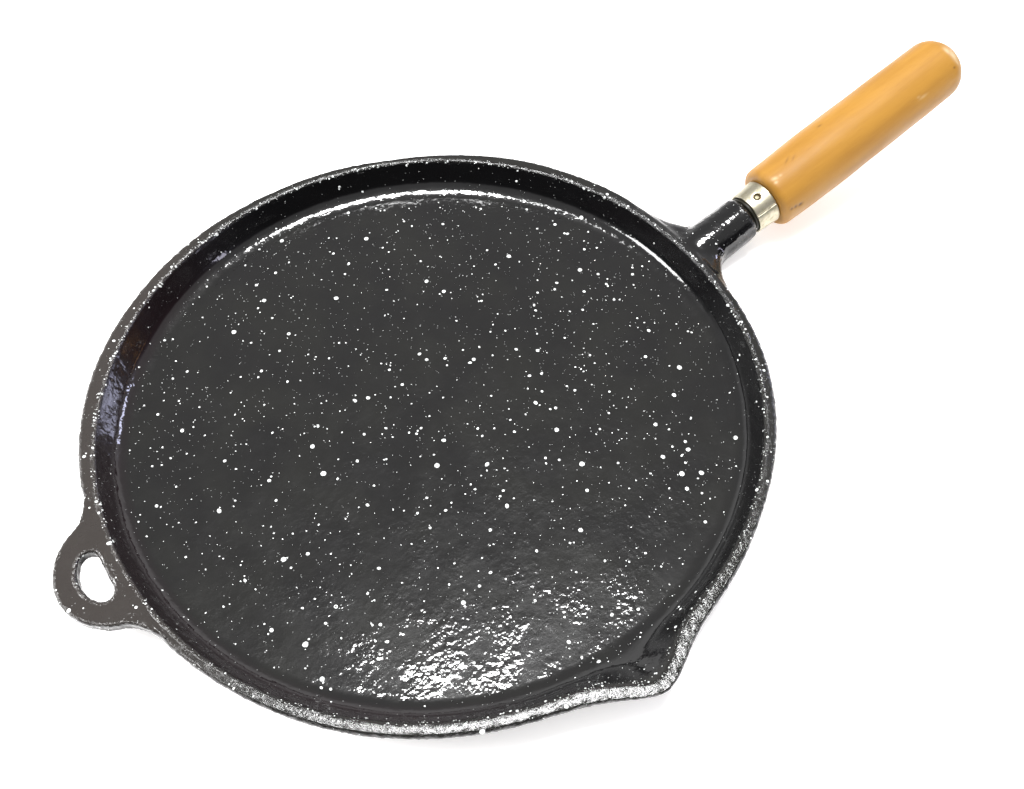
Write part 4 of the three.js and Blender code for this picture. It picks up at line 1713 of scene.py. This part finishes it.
@dataclass
class Flecks:
    """White frit strewn over the casting, as low domes or as hollow rings."""

    name: str = "enamel_flecks"
    form: FleckForm = FleckForm.DOME
    per_square_metre: float = 56000.0
    least: float = 0.12
    spread: float = 0.25
    most: float = 2.4
    rise: float = 0.055
    unevenness: float = 0.2
    around: int = 7
    rings: int = 4
    seed: int = 7
    share: str = "fleck_share"
    skew: float = 1.35
    least_chance: float = 0.0004
    least_room: float = 0.35
    squeeze: Pair = (0.72, 1.1)
    rise_power: float = 0.35
    shift_pitch: float = 1.1

    def build(self, carrier: Mesh, frit: Material) -> Mesh:
        """Strews the flecks over a mesh.

        Args:
            carrier: the casting's mesh.
            frit: what they are made of.

        Returns:
            The flecks as one mesh.
        """
        with Stand(carrier) as stand:
            sheet = GrowthSheet(self.name)
            seed = sheet.size("Seed", self.seed, "NodeSocketInt")
            source = sheet.size("Carrier", stand, "NodeSocketObject")
            ground = sheet.add("GeometryNodeObjectInfo", {"Object": source}, out="Geometry")
            share = sheet.share(self.share)
            density = sheet.times(share, sheet.size("Flecks Per Square Metre", self.per_square_metre))
            fed = {"Mesh": ground, "Density": density, "Seed": seed}
            strewn = sheet.add("GeometryNodeDistributePointsOnFaces", fed).node
            turn = self.chance(sheet, sheet.math("ADD", seed, 2), 0.0, 2 * math.pi)
            spin = sheet.add("FunctionNodeAxisAngleToRotation", {"Axis": (0, 0, 1), "Angle": turn})
            spun = (strewn.outputs["Rotation"], spin)
            facing = sheet.add("FunctionNodeRotateRotation", spun, rotation_space="LOCAL")
            inputs = {"Points": strewn.outputs["Points"], "Instance": self.shape(sheet), "Rotation": facing}
            inputs["Scale"] = self.spans(sheet, seed, share)
            real = sheet.add("GeometryNodeRealizeInstances", (sheet.add("GeometryNodeInstanceOnPoints", inputs),))
            shifted = sheet.add("GeometryNodeSetPosition", {"Geometry": real, "Offset": self.shift(sheet)})
            sheet.finish(shifted, frit)
            return face_out(sheet.grow())

    def spans(self, sheet: GrowthSheet, seed: Socket, share: Socket) -> Socket:
        """Draws each fleck's width, breadth and height by chance, most of them small.

        Args:
            sheet: the tree.
            seed: the number that the chances follow from.
            share: how thickly flecks lie there; where they are sparse, none is large.

        Returns:
            The three sizes in millimetres.
        """
        chance = self.chance(sheet, seed, self.least_chance, 1.0)
        rarity = sheet.times(sheet.math("LOGARITHM", chance, math.e), -1.0)
        drawn = sheet.times(sheet.math("POWER", rarity, self.skew), sheet.size("Spread", self.spread))
        width = sheet.math("ADD", drawn, sheet.size("Least Width", self.least))
        room = sheet.math("MULTIPLY_ADD", share, 1 - self.least_room, self.least_room)
        most = sheet.times(sheet.size("Greatest Width", self.most), room)
        width = sheet.math("MINIMUM", width, most)
        squeeze = self.chance(sheet, sheet.math("ADD", seed, 1), *self.squeeze)
        tall = sheet.times(sheet.size("Rise", self.rise), sheet.math("POWER", width, self.rise_power))
        return sheet.add("ShaderNodeCombineXYZ", (width, sheet.times(width, squeeze), tall))

    def shift(self, sheet: GrowthSheet) -> Socket:
        """Draws how far a point of a fleck is moved level, so that none is quite round.

        Args:
            sheet: the tree.

        Returns:
            The offset.
        """
        place = sheet.add("GeometryNodeInputPosition")
        inputs = {"Vector": place, "Scale": 1 / (self.shift_pitch * MM), "Detail": 1.0}
        pattern = sheet.add("ShaderNodeTexNoise", inputs, out="Color")
        centred = sheet.add("ShaderNodeVectorMath", (pattern, (0.5, 0.5, 0.5)), operation="SUBTRACT")
        uneven = sheet.size("Unevenness", self.unevenness * 2 * MM)
        shift = sheet.add("ShaderNodeVectorMath", {"Vector": centred, "Scale": uneven}, operation="SCALE")
        return sheet.add("ShaderNodeVectorMath", (shift, (1.0, 1.0, 0.0)), operation="MULTIPLY")

    @staticmethod
    def chance(sheet: GrowthSheet, seed: Any, low: float, high: float) -> Socket:
        """A random number for each fleck."""
        return sheet.add("FunctionNodeRandomValue", {"Min": low, "Max": high, "Seed": seed}, data_type="FLOAT")

    def shape(self, sheet: GrowthSheet) -> Socket:
        """Draws one fleck, a millimetre wide and high.

        Args:
            sheet: the tree.

        Returns:
            Its geometry.
        """
        if self.form is FleckForm.DOME:
            size = {"Segments": self.around, "Rings": self.rings, "Radius": 0.5 * MM}
            ball = sheet.add("GeometryNodeMeshUVSphere", size)
            return sheet.add("GeometryNodeTransform", {"Geometry": ball, "Scale": (1.0, 1.0, 2.0)})
        path = sheet.add("GeometryNodeCurvePrimitiveCircle", {"Resolution": 12, "Radius": 0.36 * MM})
        bead = sheet.add("GeometryNodeCurvePrimitiveCircle", {"Resolution": 6, "Radius": 0.15 * MM})
        ring = sheet.add("GeometryNodeCurveToMesh", {"Curve": path, "Profile Curve": bead})
        return sheet.add("GeometryNodeTransform", {"Geometry": ring, "Scale": (1.0, 1.0, 5.0)})


# The handle


@dataclass
class FerruleSizes:
    """The rolled steel band with its butt seam and the brad that holds it."""

    start: float = 37.3
    length: float = 11.1
    front_radius: float = 10.3
    rear_radius: float = 11.1
    wall: float = 0.9
    edge_round: float = 0.38
    seam_gap: float = 0.4
    seam_angle: float = -52.0
    seam_roll: float = 0.22
    seam_roll_reach: float = 0.45
    brad_along: float = 5.4
    brad_angle: float = -9.0
    brad_hole: float = 1.8
    dent_depth: float = 0.3
    dent_reach: float = 2.1
    around: int = 260
    along: int = 34

    def radius_at(self, along: float) -> float:
        """The band's outer radius at a distance along the handle's axis."""
        return self.front_radius + (self.rear_radius - self.front_radius) * (along - self.start) / self.length

    @property
    def brad_radius(self) -> float:
        """The band's outer radius where its brad sits."""
        return self.radius_at(self.start + self.brad_along)


@dataclass
class BradSizes:
    """The wire brad driven through the band."""

    head_radius: float = 1.5
    head_height: float = 0.8
    head_drop: float = 0.3
    shank_radius: float = 0.8
    shank_length: float = 4.2
    point_length: float = 1.2
    tip_radius: float = 0.02
    dome_power: float = 0.55
    sides: int = 40


@dataclass
class Ferrule:
    """The steel band around the tenon, pressed in a little where its brad was driven."""

    sizes: FerruleSizes = field(default_factory=FerruleSizes)
    brad: BradSizes = field(default_factory=BradSizes)

    def build_band(self, frame: HandleFrame, steel: Material) -> Mesh:
        """Makes the band.

        Args:
            frame: the handle's frame.
            steel: its finish.

        Returns:
            The mesh.
        """
        size = self.sizes
        end = size.start + size.length
        corners = [
            Corner(size.start, size.front_radius, size.edge_round),
            Corner(end, size.rear_radius, size.edge_round),
            Corner(end, size.rear_radius - size.wall, size.edge_round),
            Corner(size.start, size.front_radius - size.wall, size.edge_round),
        ]
        rows = [round_corner(corners[i - 1], corner, corners[(i + 1) % 4], 5) for i, corner in enumerate(corners)]
        loop = divide(np.vstack(rows + [rows[0][:1]]), size.length / size.along)[:-1]
        gap = math.asin(size.seam_gap / 2 / size.brad_radius)
        seam = math.radians(size.seam_angle)
        rings = []
        for angle in np.linspace(seam + gap, seam + 2 * math.pi - gap, size.around):
            from_seam = min(angle - seam, seam + 2 * math.pi - angle) * size.brad_radius
            turn_in = size.seam_roll * math.exp(-(((from_seam - size.seam_gap / 2) / size.seam_roll_reach) ** 2))
            across = (angle - math.radians(size.brad_angle)) * size.brad_radius
            away = np.hypot(loop[:, 0] - size.start - size.brad_along, across)
            radius = loop[:, 1] - turn_in - size.dent_depth * np.exp(-((away / size.dent_reach) ** 2))
            rings.append(np.stack([loop[:, 0], radius * math.sin(angle), radius * math.cos(angle)], axis=1))
        band = skin(np.array(rings), steel)
        hole = self.radial(np.array([[0.0, size.brad_hole], [2 * size.brad_radius, size.brad_hole]]), self.brad.sides)
        band = combine(band, skin(hole, steel), Cut.REMOVE)
        move_to(band, frame.out(places(band)))
        return band

    def radial(self, outline: Array, steps: int) -> Array:
        """Revolves a profile about the brad's own line, which stands square to the handle's axis.

        Args:
            outline: points of (distance from the axis, radius).
            steps: how many places there are around.

        Returns:
            The rings in the handle's frame.
        """
        angle = math.radians(self.sizes.brad_angle)
        out = np.array([0.0, math.sin(angle), math.cos(angle)])
        side = np.array([0.0, math.cos(angle), -math.sin(angle)])
        rings = turned(outline, steps)
        x, y, z = (rings[..., k : k + 1] for k in range(3))
        centre = np.array([self.sizes.start + self.sizes.brad_along, 0.0, 0.0])
        return centre + x * out + y * side + z * np.array([1.0, 0.0, 0.0])

    def build_brad(self, frame: HandleFrame, steel: Material) -> Mesh:
        """Makes the brad with its low domed head.

        Args:
            frame: the handle's frame.
            steel: its finish.

        Returns:
            The mesh.
        """
        brad = self.brad
        top = self.sizes.brad_radius - brad.head_drop
        under = self.sizes.brad_radius - brad.head_height
        tip = under - brad.shank_length
        rows = [[tip, brad.tip_radius], [tip + brad.point_length, brad.shank_radius]]
        rows += [[under, brad.shank_radius], [under, brad.head_radius]]
        for angle in np.linspace(0, math.pi / 2, 9)[1:-1]:
            radius = brad.head_radius * math.cos(angle) ** brad.dome_power
            rows.append([under + (top - under) * math.sin(angle), radius])
        rows.append([top, brad.tip_radius])
        return skin(frame.out(self.radial(np.array(rows), brad.sides)), steel)


@dataclass(frozen=True)
class Mark:
    """A dent, scratch or paler patch on the grip, along its axis and around from its upper side."""

    along: float
    angle: float
    length: float
    width: float
    depth: float
    bruise_and_shade: float = 0.0
    pale_patch: float = 0.0
    turn: float = 0.0


@dataclass
class Grip:
    """The turned wooden grip with its tenon, its bore and its domed end.

    Each of its waves has a height, a pitch along the grip and the number of crests around it.
    """

    start: float = 48.7
    length: float = 117.6
    front_radius: float = 15.5
    belly_radius: float = 15.95
    rear_radius: float = 15.3
    belly_place: float = 40.0
    shoulder_round: float = 3.5
    dome_depth: float = 11.0
    counterbore_radius: float = 5.4
    counterbore_depth: float = 9.5
    tenon_start: float = 36.1
    tenon_front: float = 9.1
    tenon_rear: float = 9.9
    bore_radius: float = 2.8
    dome_edge: float = 0.5
    pit_clearance: float = 0.3
    pit_reach: float = 12.0
    pilot_radius: float = 1.1
    # The painted shade on the tenon's front: how far past the band's front edge it ends, and over what length it
    # fades in.
    recess_shade_reach: float = 2.2
    recess_shade_fade: float = 1.2
    waves: tuple[Triple, ...] = ((0.12, 9.0, 2.0), (0.08, 4.1, -1.0))
    wave_drop: float = 0.2
    wave_share: float = 0.5
    around: int = 220
    step: float = 0.74
    marks: tuple[Mark, ...] = (
        Mark(57.1, -77.2, 1.3, 0.8, 0.35, bruise_and_shade=1.0),
        Mark(54.4, -74.6, 1.0, 0.8, 0.3, bruise_and_shade=0.9),
        Mark(52.1, -73.4, 0.8, 0.7, 0.25, bruise_and_shade=0.85),
        Mark(87.6, 21.0, 1.3, 0.5, 0.2, bruise_and_shade=0.6),
        Mark(63.3, 4.9, 2.2, 0.32, 0.16, bruise_and_shade=0.55, turn=28.0),
        Mark(66.2, 0.5, 1.8, 0.3, 0.14, bruise_and_shade=0.5, turn=28.0),
        Mark(52.7, -8.6, 1.5, 0.8, 0.15, pale_patch=0.8, turn=-20.0),
        Mark(51.9, -15.0, 0.9, 0.6, 0.1, pale_patch=0.7),
        Mark(55.6, -10.0, 0.8, 0.5, 0.1, pale_patch=0.5),
        Mark(135.3, -55.0, 2.2, 0.6, 0.15, pale_patch=0.5),
        Mark(133.0, -50.0, 0.9, 0.5, 0.12, pale_patch=0.4),
        Mark(158.6, -14.0, 1.3, 2.2, 0.25, pale_patch=0.85),
        Mark(159.8, -30.0, 1.7, 3.4, 0.3, pale_patch=0.95),
        Mark(159.8, -44.0, 0.9, 1.6, 0.2, pale_patch=0.7),
        Mark(156.3, -47.6, 0.6, 0.5, 0.25, bruise_and_shade=0.8),
        Mark(105.0, 70.0, 2.0, 1.0, 0.25, bruise_and_shade=0.3),
        Mark(120.0, 150.0, 2.4, 0.8, 0.25, bruise_and_shade=0.4),
        Mark(72.0, -150.0, 1.6, 1.0, 0.3, bruise_and_shade=0.6),
    )

    @property
    def end(self) -> float:
        """Where the grip ends along the handle's axis."""
        return self.start + self.length

    def side(self) -> Array:
        """Draws the long, barely bellied side.

        Returns:
            Points of (distance along, radius).
        """
        front = np.array([self.start + self.shoulder_round, self.front_radius])
        belly = np.array([self.start + self.belly_place, self.belly_radius])
        rear = np.array([self.end - self.dome_depth, self.rear_radius])
        rows = []
        for a, b, c, d in ((front, front, belly, rear), (front, belly, rear, rear)):
            t = np.linspace(0, 1, 60)[:, None]
            first, last = (c - a) / 2, (d - b) / 2
            rows.append(
                (2 * b - 2 * c + first + last) * t**3 + (-3 * b + 3 * c - 2 * first - last) * t**2 + first * t + b
            )
        return np.vstack([rows[0][:-1], rows[1]])

    def outline(self) -> Array:
        """Draws the grip's closed section.

        Returns:
            Points of (distance along, radius).
        """
        turn = np.linspace(0, math.pi / 2, 12)
        along = self.start + self.shoulder_round * (1 - np.cos(turn))
        shoulder = np.stack([along, self.front_radius - self.shoulder_round * (1 - np.sin(turn))], axis=1)
        last = math.acos(self.counterbore_radius / self.rear_radius)
        turn = np.linspace(0, last, 30)
        along = self.end - self.dome_depth * (1 - np.sin(turn) / math.sin(last))
        dome = np.stack([along, self.rear_radius * np.cos(turn)], axis=1)
        dome[-1, 1] += self.dome_edge * 0.7
        floor = self.end - self.counterbore_depth
        inner = [
            [self.end - self.dome_edge, self.counterbore_radius],
            [floor, self.counterbore_radius],
            [floor, self.bore_radius],
            [self.tenon_start, self.bore_radius],
            [self.tenon_start, self.tenon_front],
            [self.start, self.tenon_rear],
        ]
        loop = np.vstack([shoulder, self.side()[1:-1], dome, inner, shoulder[:1]])
        return divide(loop, self.step)[:-1]

    def build(self, frame: HandleFrame, wood: Material, ferrule: Ferrule) -> Mesh:
        """Makes the grip and presses its marks in.

        Args:
            frame: the handle's frame.
            wood: its finish.
            ferrule: the band, which says where the brad goes.

        Returns:
            The mesh, with its share of bruises and painted shade, and its share of paler patches.
        """
        outline = self.outline()
        mesh = skin(turned(outline, self.around), wood, looped=True)
        floor = ferrule.sizes.brad_radius - ferrule.brad.head_height - self.pit_clearance
        tip = floor - ferrule.brad.shank_length
        for low, wide, sides in ((floor, ferrule.sizes.brad_hole, 32), (tip, self.pilot_radius, 24)):
            hole = ferrule.radial(np.array([[low, wide], [self.pit_reach, wide]]), sides)
            mesh = combine(mesh, skin(hole, wood), Cut.REMOVE)
        points = places(mesh)
        radius = np.hypot(points[:, 1], points[:, 2])
        angle = np.arctan2(points[:, 1], points[:, 2])
        outside = (radius > self.tenon_rear + 1) & (points[:, 0] > self.start)
        # Painted shade: the tenon's front, inside the band's recess, gets the darkest colour, which fades out further
        # under the band.
        bruise_and_shade = Climb(ferrule.sizes.start + self.recess_shade_reach, -self.recess_shade_fade).at(points[:, 0]) * 2
        pale_patch = np.zeros(len(points))
        inwards = np.zeros(len(points))
        for mark in self.marks:
            across = np.angle(np.exp(1j * (angle - math.radians(mark.angle)))) * radius
            along = points[:, 0] - mark.along
            turn = math.radians(mark.turn)
            u = along * math.cos(turn) + across * math.sin(turn)
            v = across * math.cos(turn) - along * math.sin(turn)
            share = np.exp(-((u / mark.length) ** 2) - (v / mark.width) ** 2) * outside
            inwards += mark.depth * share
            bruise_and_shade = np.maximum(bruise_and_shade, mark.bruise_and_shade * share)
            pale_patch = np.maximum(pale_patch, mark.pale_patch * share)
        hand = sum(height * np.sin(points[:, 0] / pitch + turns * angle) for height, pitch, turns in self.waves)
        shrink = 1 - (inwards + (hand + self.wave_drop) * outside * self.wave_share) / np.maximum(radius, 1)
        points[:, 1:] *= shrink[:, None]
        move_to(mesh, frame.out(points))
        write_share(mesh, "bruise_share", bruise_and_shade)
        write_share(mesh, "bare_share", pale_patch)
        return mesh


@dataclass
class TieRod:
    """The threaded rod that draws the grip against the boss."""

    start: float = 13.3
    end: float = 163.6
    radius: float = 2.5
    core_radius: float = 2.08
    chamfer: float = 0.6
    pitch: float = 0.8
    thread_length: float = 16.0
    runout: float = 0.6
    end_chamfer: Pair = (0.4, 0.35)
    crest_radius: float = 0.26
    crest_sink: float = 0.24
    crest_lead: float = 0.2
    crest_cut: float = 0.8
    turn_points: int = 22

    def build(self, frame: HandleFrame, steel: Material) -> Mesh:
        """Makes the rod's core.

        Args:
            frame: the handle's frame.
            steel: its finish.

        Returns:
            The mesh.
        """
        thread = self.end - self.thread_length
        rows = [
            [self.start, self.radius - self.chamfer],
            [self.start + self.chamfer, self.radius],
            [thread - self.runout, self.radius],
            [thread, self.core_radius],
            [self.end - self.end_chamfer[0], self.core_radius],
            [self.end, self.core_radius - self.end_chamfer[1]],
        ]
        return skin(frame.out(turned(divide(np.array(rows), 4.0), 48)), steel)

    def build_thread(self, frame: HandleFrame, steel: Material) -> Mesh:
        """Winds the thread's crest around the rod's end.

        Args:
            frame: the handle's frame.
            steel: its finish.

        Returns:
            The mesh.
        """
        length = self.thread_length - self.crest_cut
        sheet = GrowthSheet("thread")
        turns = sheet.math("DIVIDE", sheet.size("Thread Length", length), sheet.size("Pitch", self.pitch))
        radius = sheet.size("Crest Radius", (self.radius - self.crest_sink) * MM)
        helix = sheet.add(
            "GeometryNodeCurveSpiral",
            {
                "Resolution": self.turn_points,
                "Rotations": turns,
                "Start Radius": radius,
                "End Radius": radius,
                "Height": sheet.size("Height", length * MM),
            },
        )
        crest = sheet.add("GeometryNodeCurvePrimitiveCircle", {"Resolution": 5, "Radius": self.crest_radius * MM})
        wound = {"Curve": helix, "Profile Curve": crest, "Fill Caps": True}
        sheet.finish(sheet.add("GeometryNodeCurveToMesh", wound), steel)
        mesh = sheet.grow()
        points = places(mesh)
        along = points[:, 2] + self.end - self.thread_length + self.crest_lead
        turned_points = np.stack([along, points[:, 0], points[:, 1]], axis=1)
        move_to(mesh, frame.out(turned_points))
        return mesh


# The studio


@dataclass(frozen=True)
class SoftBox:
    """A soft rectangular light above the table, placed and sized in metres."""

    name: str
    centre: Triple
    aim: Triple
    width: float
    height: float
    radiance: float
    tint: Triple = (1.0, 1.0, 1.0)
    roll: Triple = (0.82, -0.57, 0.0)
    mirrored: bool = True

    def build(self) -> None:
        """Hangs the light."""
        light = bpy.data.lights.new(self.name, "AREA")
        light.shape = "RECTANGLE"
        light.size = self.width
        light.size_y = self.height
        light.color = self.tint
        light.energy = 4 * self.width * self.height * self.radiance
        lamp = put(self.name, light)
        lamp.visible_glossy = self.mirrored
        back = (Vector(self.centre) - Vector(self.aim)).normalized()
        side = (Vector(self.roll) - back * back.dot(Vector(self.roll))).normalized()
        up = back.cross(side)
        turn = Matrix((side, up, back)).transposed().to_4x4()
        lamp.matrix_world = Matrix.Translation(self.centre) @ turn


@dataclass
class Studio:
    """The camera, the pale table, the bright room and its soft lights.

    The table is sized in metres. Heights and sides of the room are parts of a unit direction.
    """

    eye: Triple = (-104.47, -199.02, 340.66)
    right: Triple = (0.81559696, -0.57856919, 0.00770052)
    up: Triple = (0.47492101, 0.67697003, 0.5622825)
    lens: float = 33.4
    sensor: float = 36.0
    room: float = 0.45
    boxes: tuple[SoftBox, ...] = (
        SoftBox("overhead", (0.102, 0.041, 1.0), (0.102, 0.041, 0.0), 0.42, 0.165, 48.0, roll=(0.878, -0.479, 0.0)),
        SoftBox("slit", (-0.57, 0.66, 3.0), (-0.57, 0.66, 0.0), 0.64, 0.18, 13.0, roll=(-0.316, 0.949, 0.0)),
        SoftBox("left_window", (-0.78, 0.42, 0.60), (0.1, 0.0, 0.0), 0.36, 0.36, 13.0, roll=UPRIGHT),
        SoftBox("blue_window", (1.13, 0.07, 0.40), (-0.1, 0.05, 0.0), 0.26, 0.17, 10.5, (0.72, 0.74, 1.0), UPRIGHT),
        SoftBox("side_window", (0.78, -0.93, 0.36), (-0.05, 0.12, 0.0), 0.50, 0.08, 5.0, (0.85, 0.83, 1.0), UPRIGHT),
        SoftBox("fill", (-0.2, 0.55, 1.8), (0.0, 0.0, 0.0), 2.4, 2.4, 1.4, mirrored=False),
    )
    dark_side: Pair = (-0.465, -0.885)
    dim: float = 0.03
    dim_heights: Pair = (0.3, 0.62)
    dim_side: Pair = (-0.45, -0.1)
    horizon: float = 0.45
    horizon_heights: Pair = (0.45, 0.2)
    horizon_side: Pair = (-0.3, -0.8)
    table_half: float = 4.0
    table_drop: float = 0.0002

    def build(self) -> None:
        """Sets up the camera, the light and the table."""
        self.place_camera()
        self.light_room()
        for box in self.boxes:
            box.build()
        self.lay_table()

    def place_camera(self) -> None:
        """Puts the camera at the photograph's viewpoint."""
        camera = bpy.data.cameras.new("photograph")
        camera.lens = self.lens
        camera.sensor_width = self.sensor
        camera.sensor_fit = "HORIZONTAL"
        camera.clip_start = 0.01
        eye = put("photograph", camera)
        right, up = Vector(self.right), Vector(self.up)
        turn = Matrix((right, up, right.cross(up))).transposed().to_4x4()
        eye.matrix_world = Matrix.Translation(Vector(self.eye) * MM) @ turn
        bpy.context.scene.camera = eye

    def light_room(self) -> None:
        """Fills the room with white light, dim low down behind the camera, before a white backdrop."""
        scene = bpy.context.scene
        world = bpy.data.worlds.new("white_room")
        world.use_nodes = True
        sheet = NodeSheet(world.node_tree)
        x, y, z = sheet.parts(sheet.add("ShaderNodeTexCoord", out="Generated"))
        toward = sheet.math("MULTIPLY_ADD", x, self.dark_side[0], sheet.times(y, self.dark_side[1]))
        low = sheet.ramp(z, *self.dim_heights, 1.0, 0.0)
        shade = sheet.times(low, sheet.ramp(toward, *self.dim_side))
        sky = world.node_tree.nodes["Background"]
        sky.inputs["Color"].default_value = (1.0, 1.0, 1.0, 1.0)
        room = sheet.ramp(shade, 0.0, 1.0, self.room, self.dim)
        far = sheet.ramp(toward, *self.horizon_side, 0.0, self.horizon)
        beyond = sheet.times(sheet.ramp(z, *self.horizon_heights), far)
        backdrop = sheet.add("ShaderNodeLightPath", out="Is Camera Ray")
        sheet.feed(sky.inputs["Strength"], sheet.math("MAXIMUM", sheet.math("ADD", room, beyond), backdrop))
        scene.world = world
        scene.view_settings.view_transform = "Standard"
        scene.view_settings.look = "None"

    def lay_table(self) -> None:
        """Lays the table that the pan stands on."""
        half, z = self.table_half, -self.table_drop
        mesh = bpy.data.meshes.new("table")
        mesh.from_pydata([(-half, -half, z), (half, -half, z), (half, half, z), (-half, half, z)], [], [(0, 1, 2, 3)])
        mesh.materials.append(PaleFloor().make())
        put("table", mesh)


@dataclass
class GriddlePan:
    """The whole pan."""

    casting: PanCasting = field(default_factory=PanCasting)
    flecks: Flecks = field(default_factory=Flecks)
    hollow_flecks: Flecks = field(
        default_factory=lambda: Flecks("hollow_flecks", FleckForm.HOLLOW, 60.0, 1.4, 0.3, 2.1, 0.03, 0.1, seed=23)
    )
    rim_beads: Flecks = field(
        default_factory=lambda: Flecks(
            "rim_beads", FleckForm.DOME, 620000.0, 0.28, 0.22, 1.5, 0.14, 0.3, seed=41, share="bead_share"
        )
    )
    ferrule: Ferrule = field(default_factory=Ferrule)
    grip: Grip = field(default_factory=Grip)
    rod: TieRod = field(default_factory=TieRod)

    def build(self, nodes: Mapping[str, bpy.types.Object]) -> None:
        """Makes and dresses every piece.

        Args:
            nodes: the CAD nodes by name.
        """
        frame = HandleFrame(self.casting.dish, self.casting.boss)
        enamel, frit = BlackEnamel().make(), WhiteFrit().make()
        body = self.casting.build(frame, enamel)
        for flecks in (self.flecks, self.hollow_flecks, self.rim_beads):
            add_piece(flecks.name, flecks.build(body, frit))
        for name in ("fleck_share", "bead_share", "fine_share", "free_share"):
            body.attributes.remove(body.attributes[name])
        add_piece("enamelled_casting", body, ["pan_casting"])
        band = Metal("band_steel", tilt=self.casting.boss.tilt).make()
        # Painted shade: the brad's steel is darkened far below bare steel, to stand for the shade on its head, which
        # sits sunk in the band's hole.
        wire = Metal("brad_wire", (0.18, 0.16, 0.105), (0.06, 0.05, 0.03)).make()
        plate = ((0.7, 0.71, 0.73), (0.42, 0.43, 0.44), (1.0, 1.0, 1.0), 0.6, 0.01, 0.18, 0.38)
        zinc = Metal("zinc_plate", *plate).make()
        add_piece("rolled_ferrule", self.ferrule.build_band(frame, band), ["ferrule"])
        add_piece("driven_brad", self.ferrule.build_brad(frame, wire), ["ferrule_brad"])
        wood = LacqueredWood(tilt=self.casting.boss.tilt).make()
        add_piece("turned_grip", self.grip.build(frame, wood, self.ferrule), ["grip"])
        add_piece("threaded_rod", self.rod.build(frame, zinc), ["tie_rod"])
        add_piece("rod_thread", self.rod.build_thread(frame, zinc))
        for name in ("end_washer", "end_nut"):
            nodes[name].material_slots[0].material = zinc
            LOG.info("%s: dressed in zinc plate", name)


def main() -> None:
    """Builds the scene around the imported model."""
    logging.basicConfig(level=logging.INFO, format="%(name)s %(message)s")
    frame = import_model()
    Studio().build()
    GriddlePan().build(frame["nodes"])


if __name__ == "__main__":
    main()
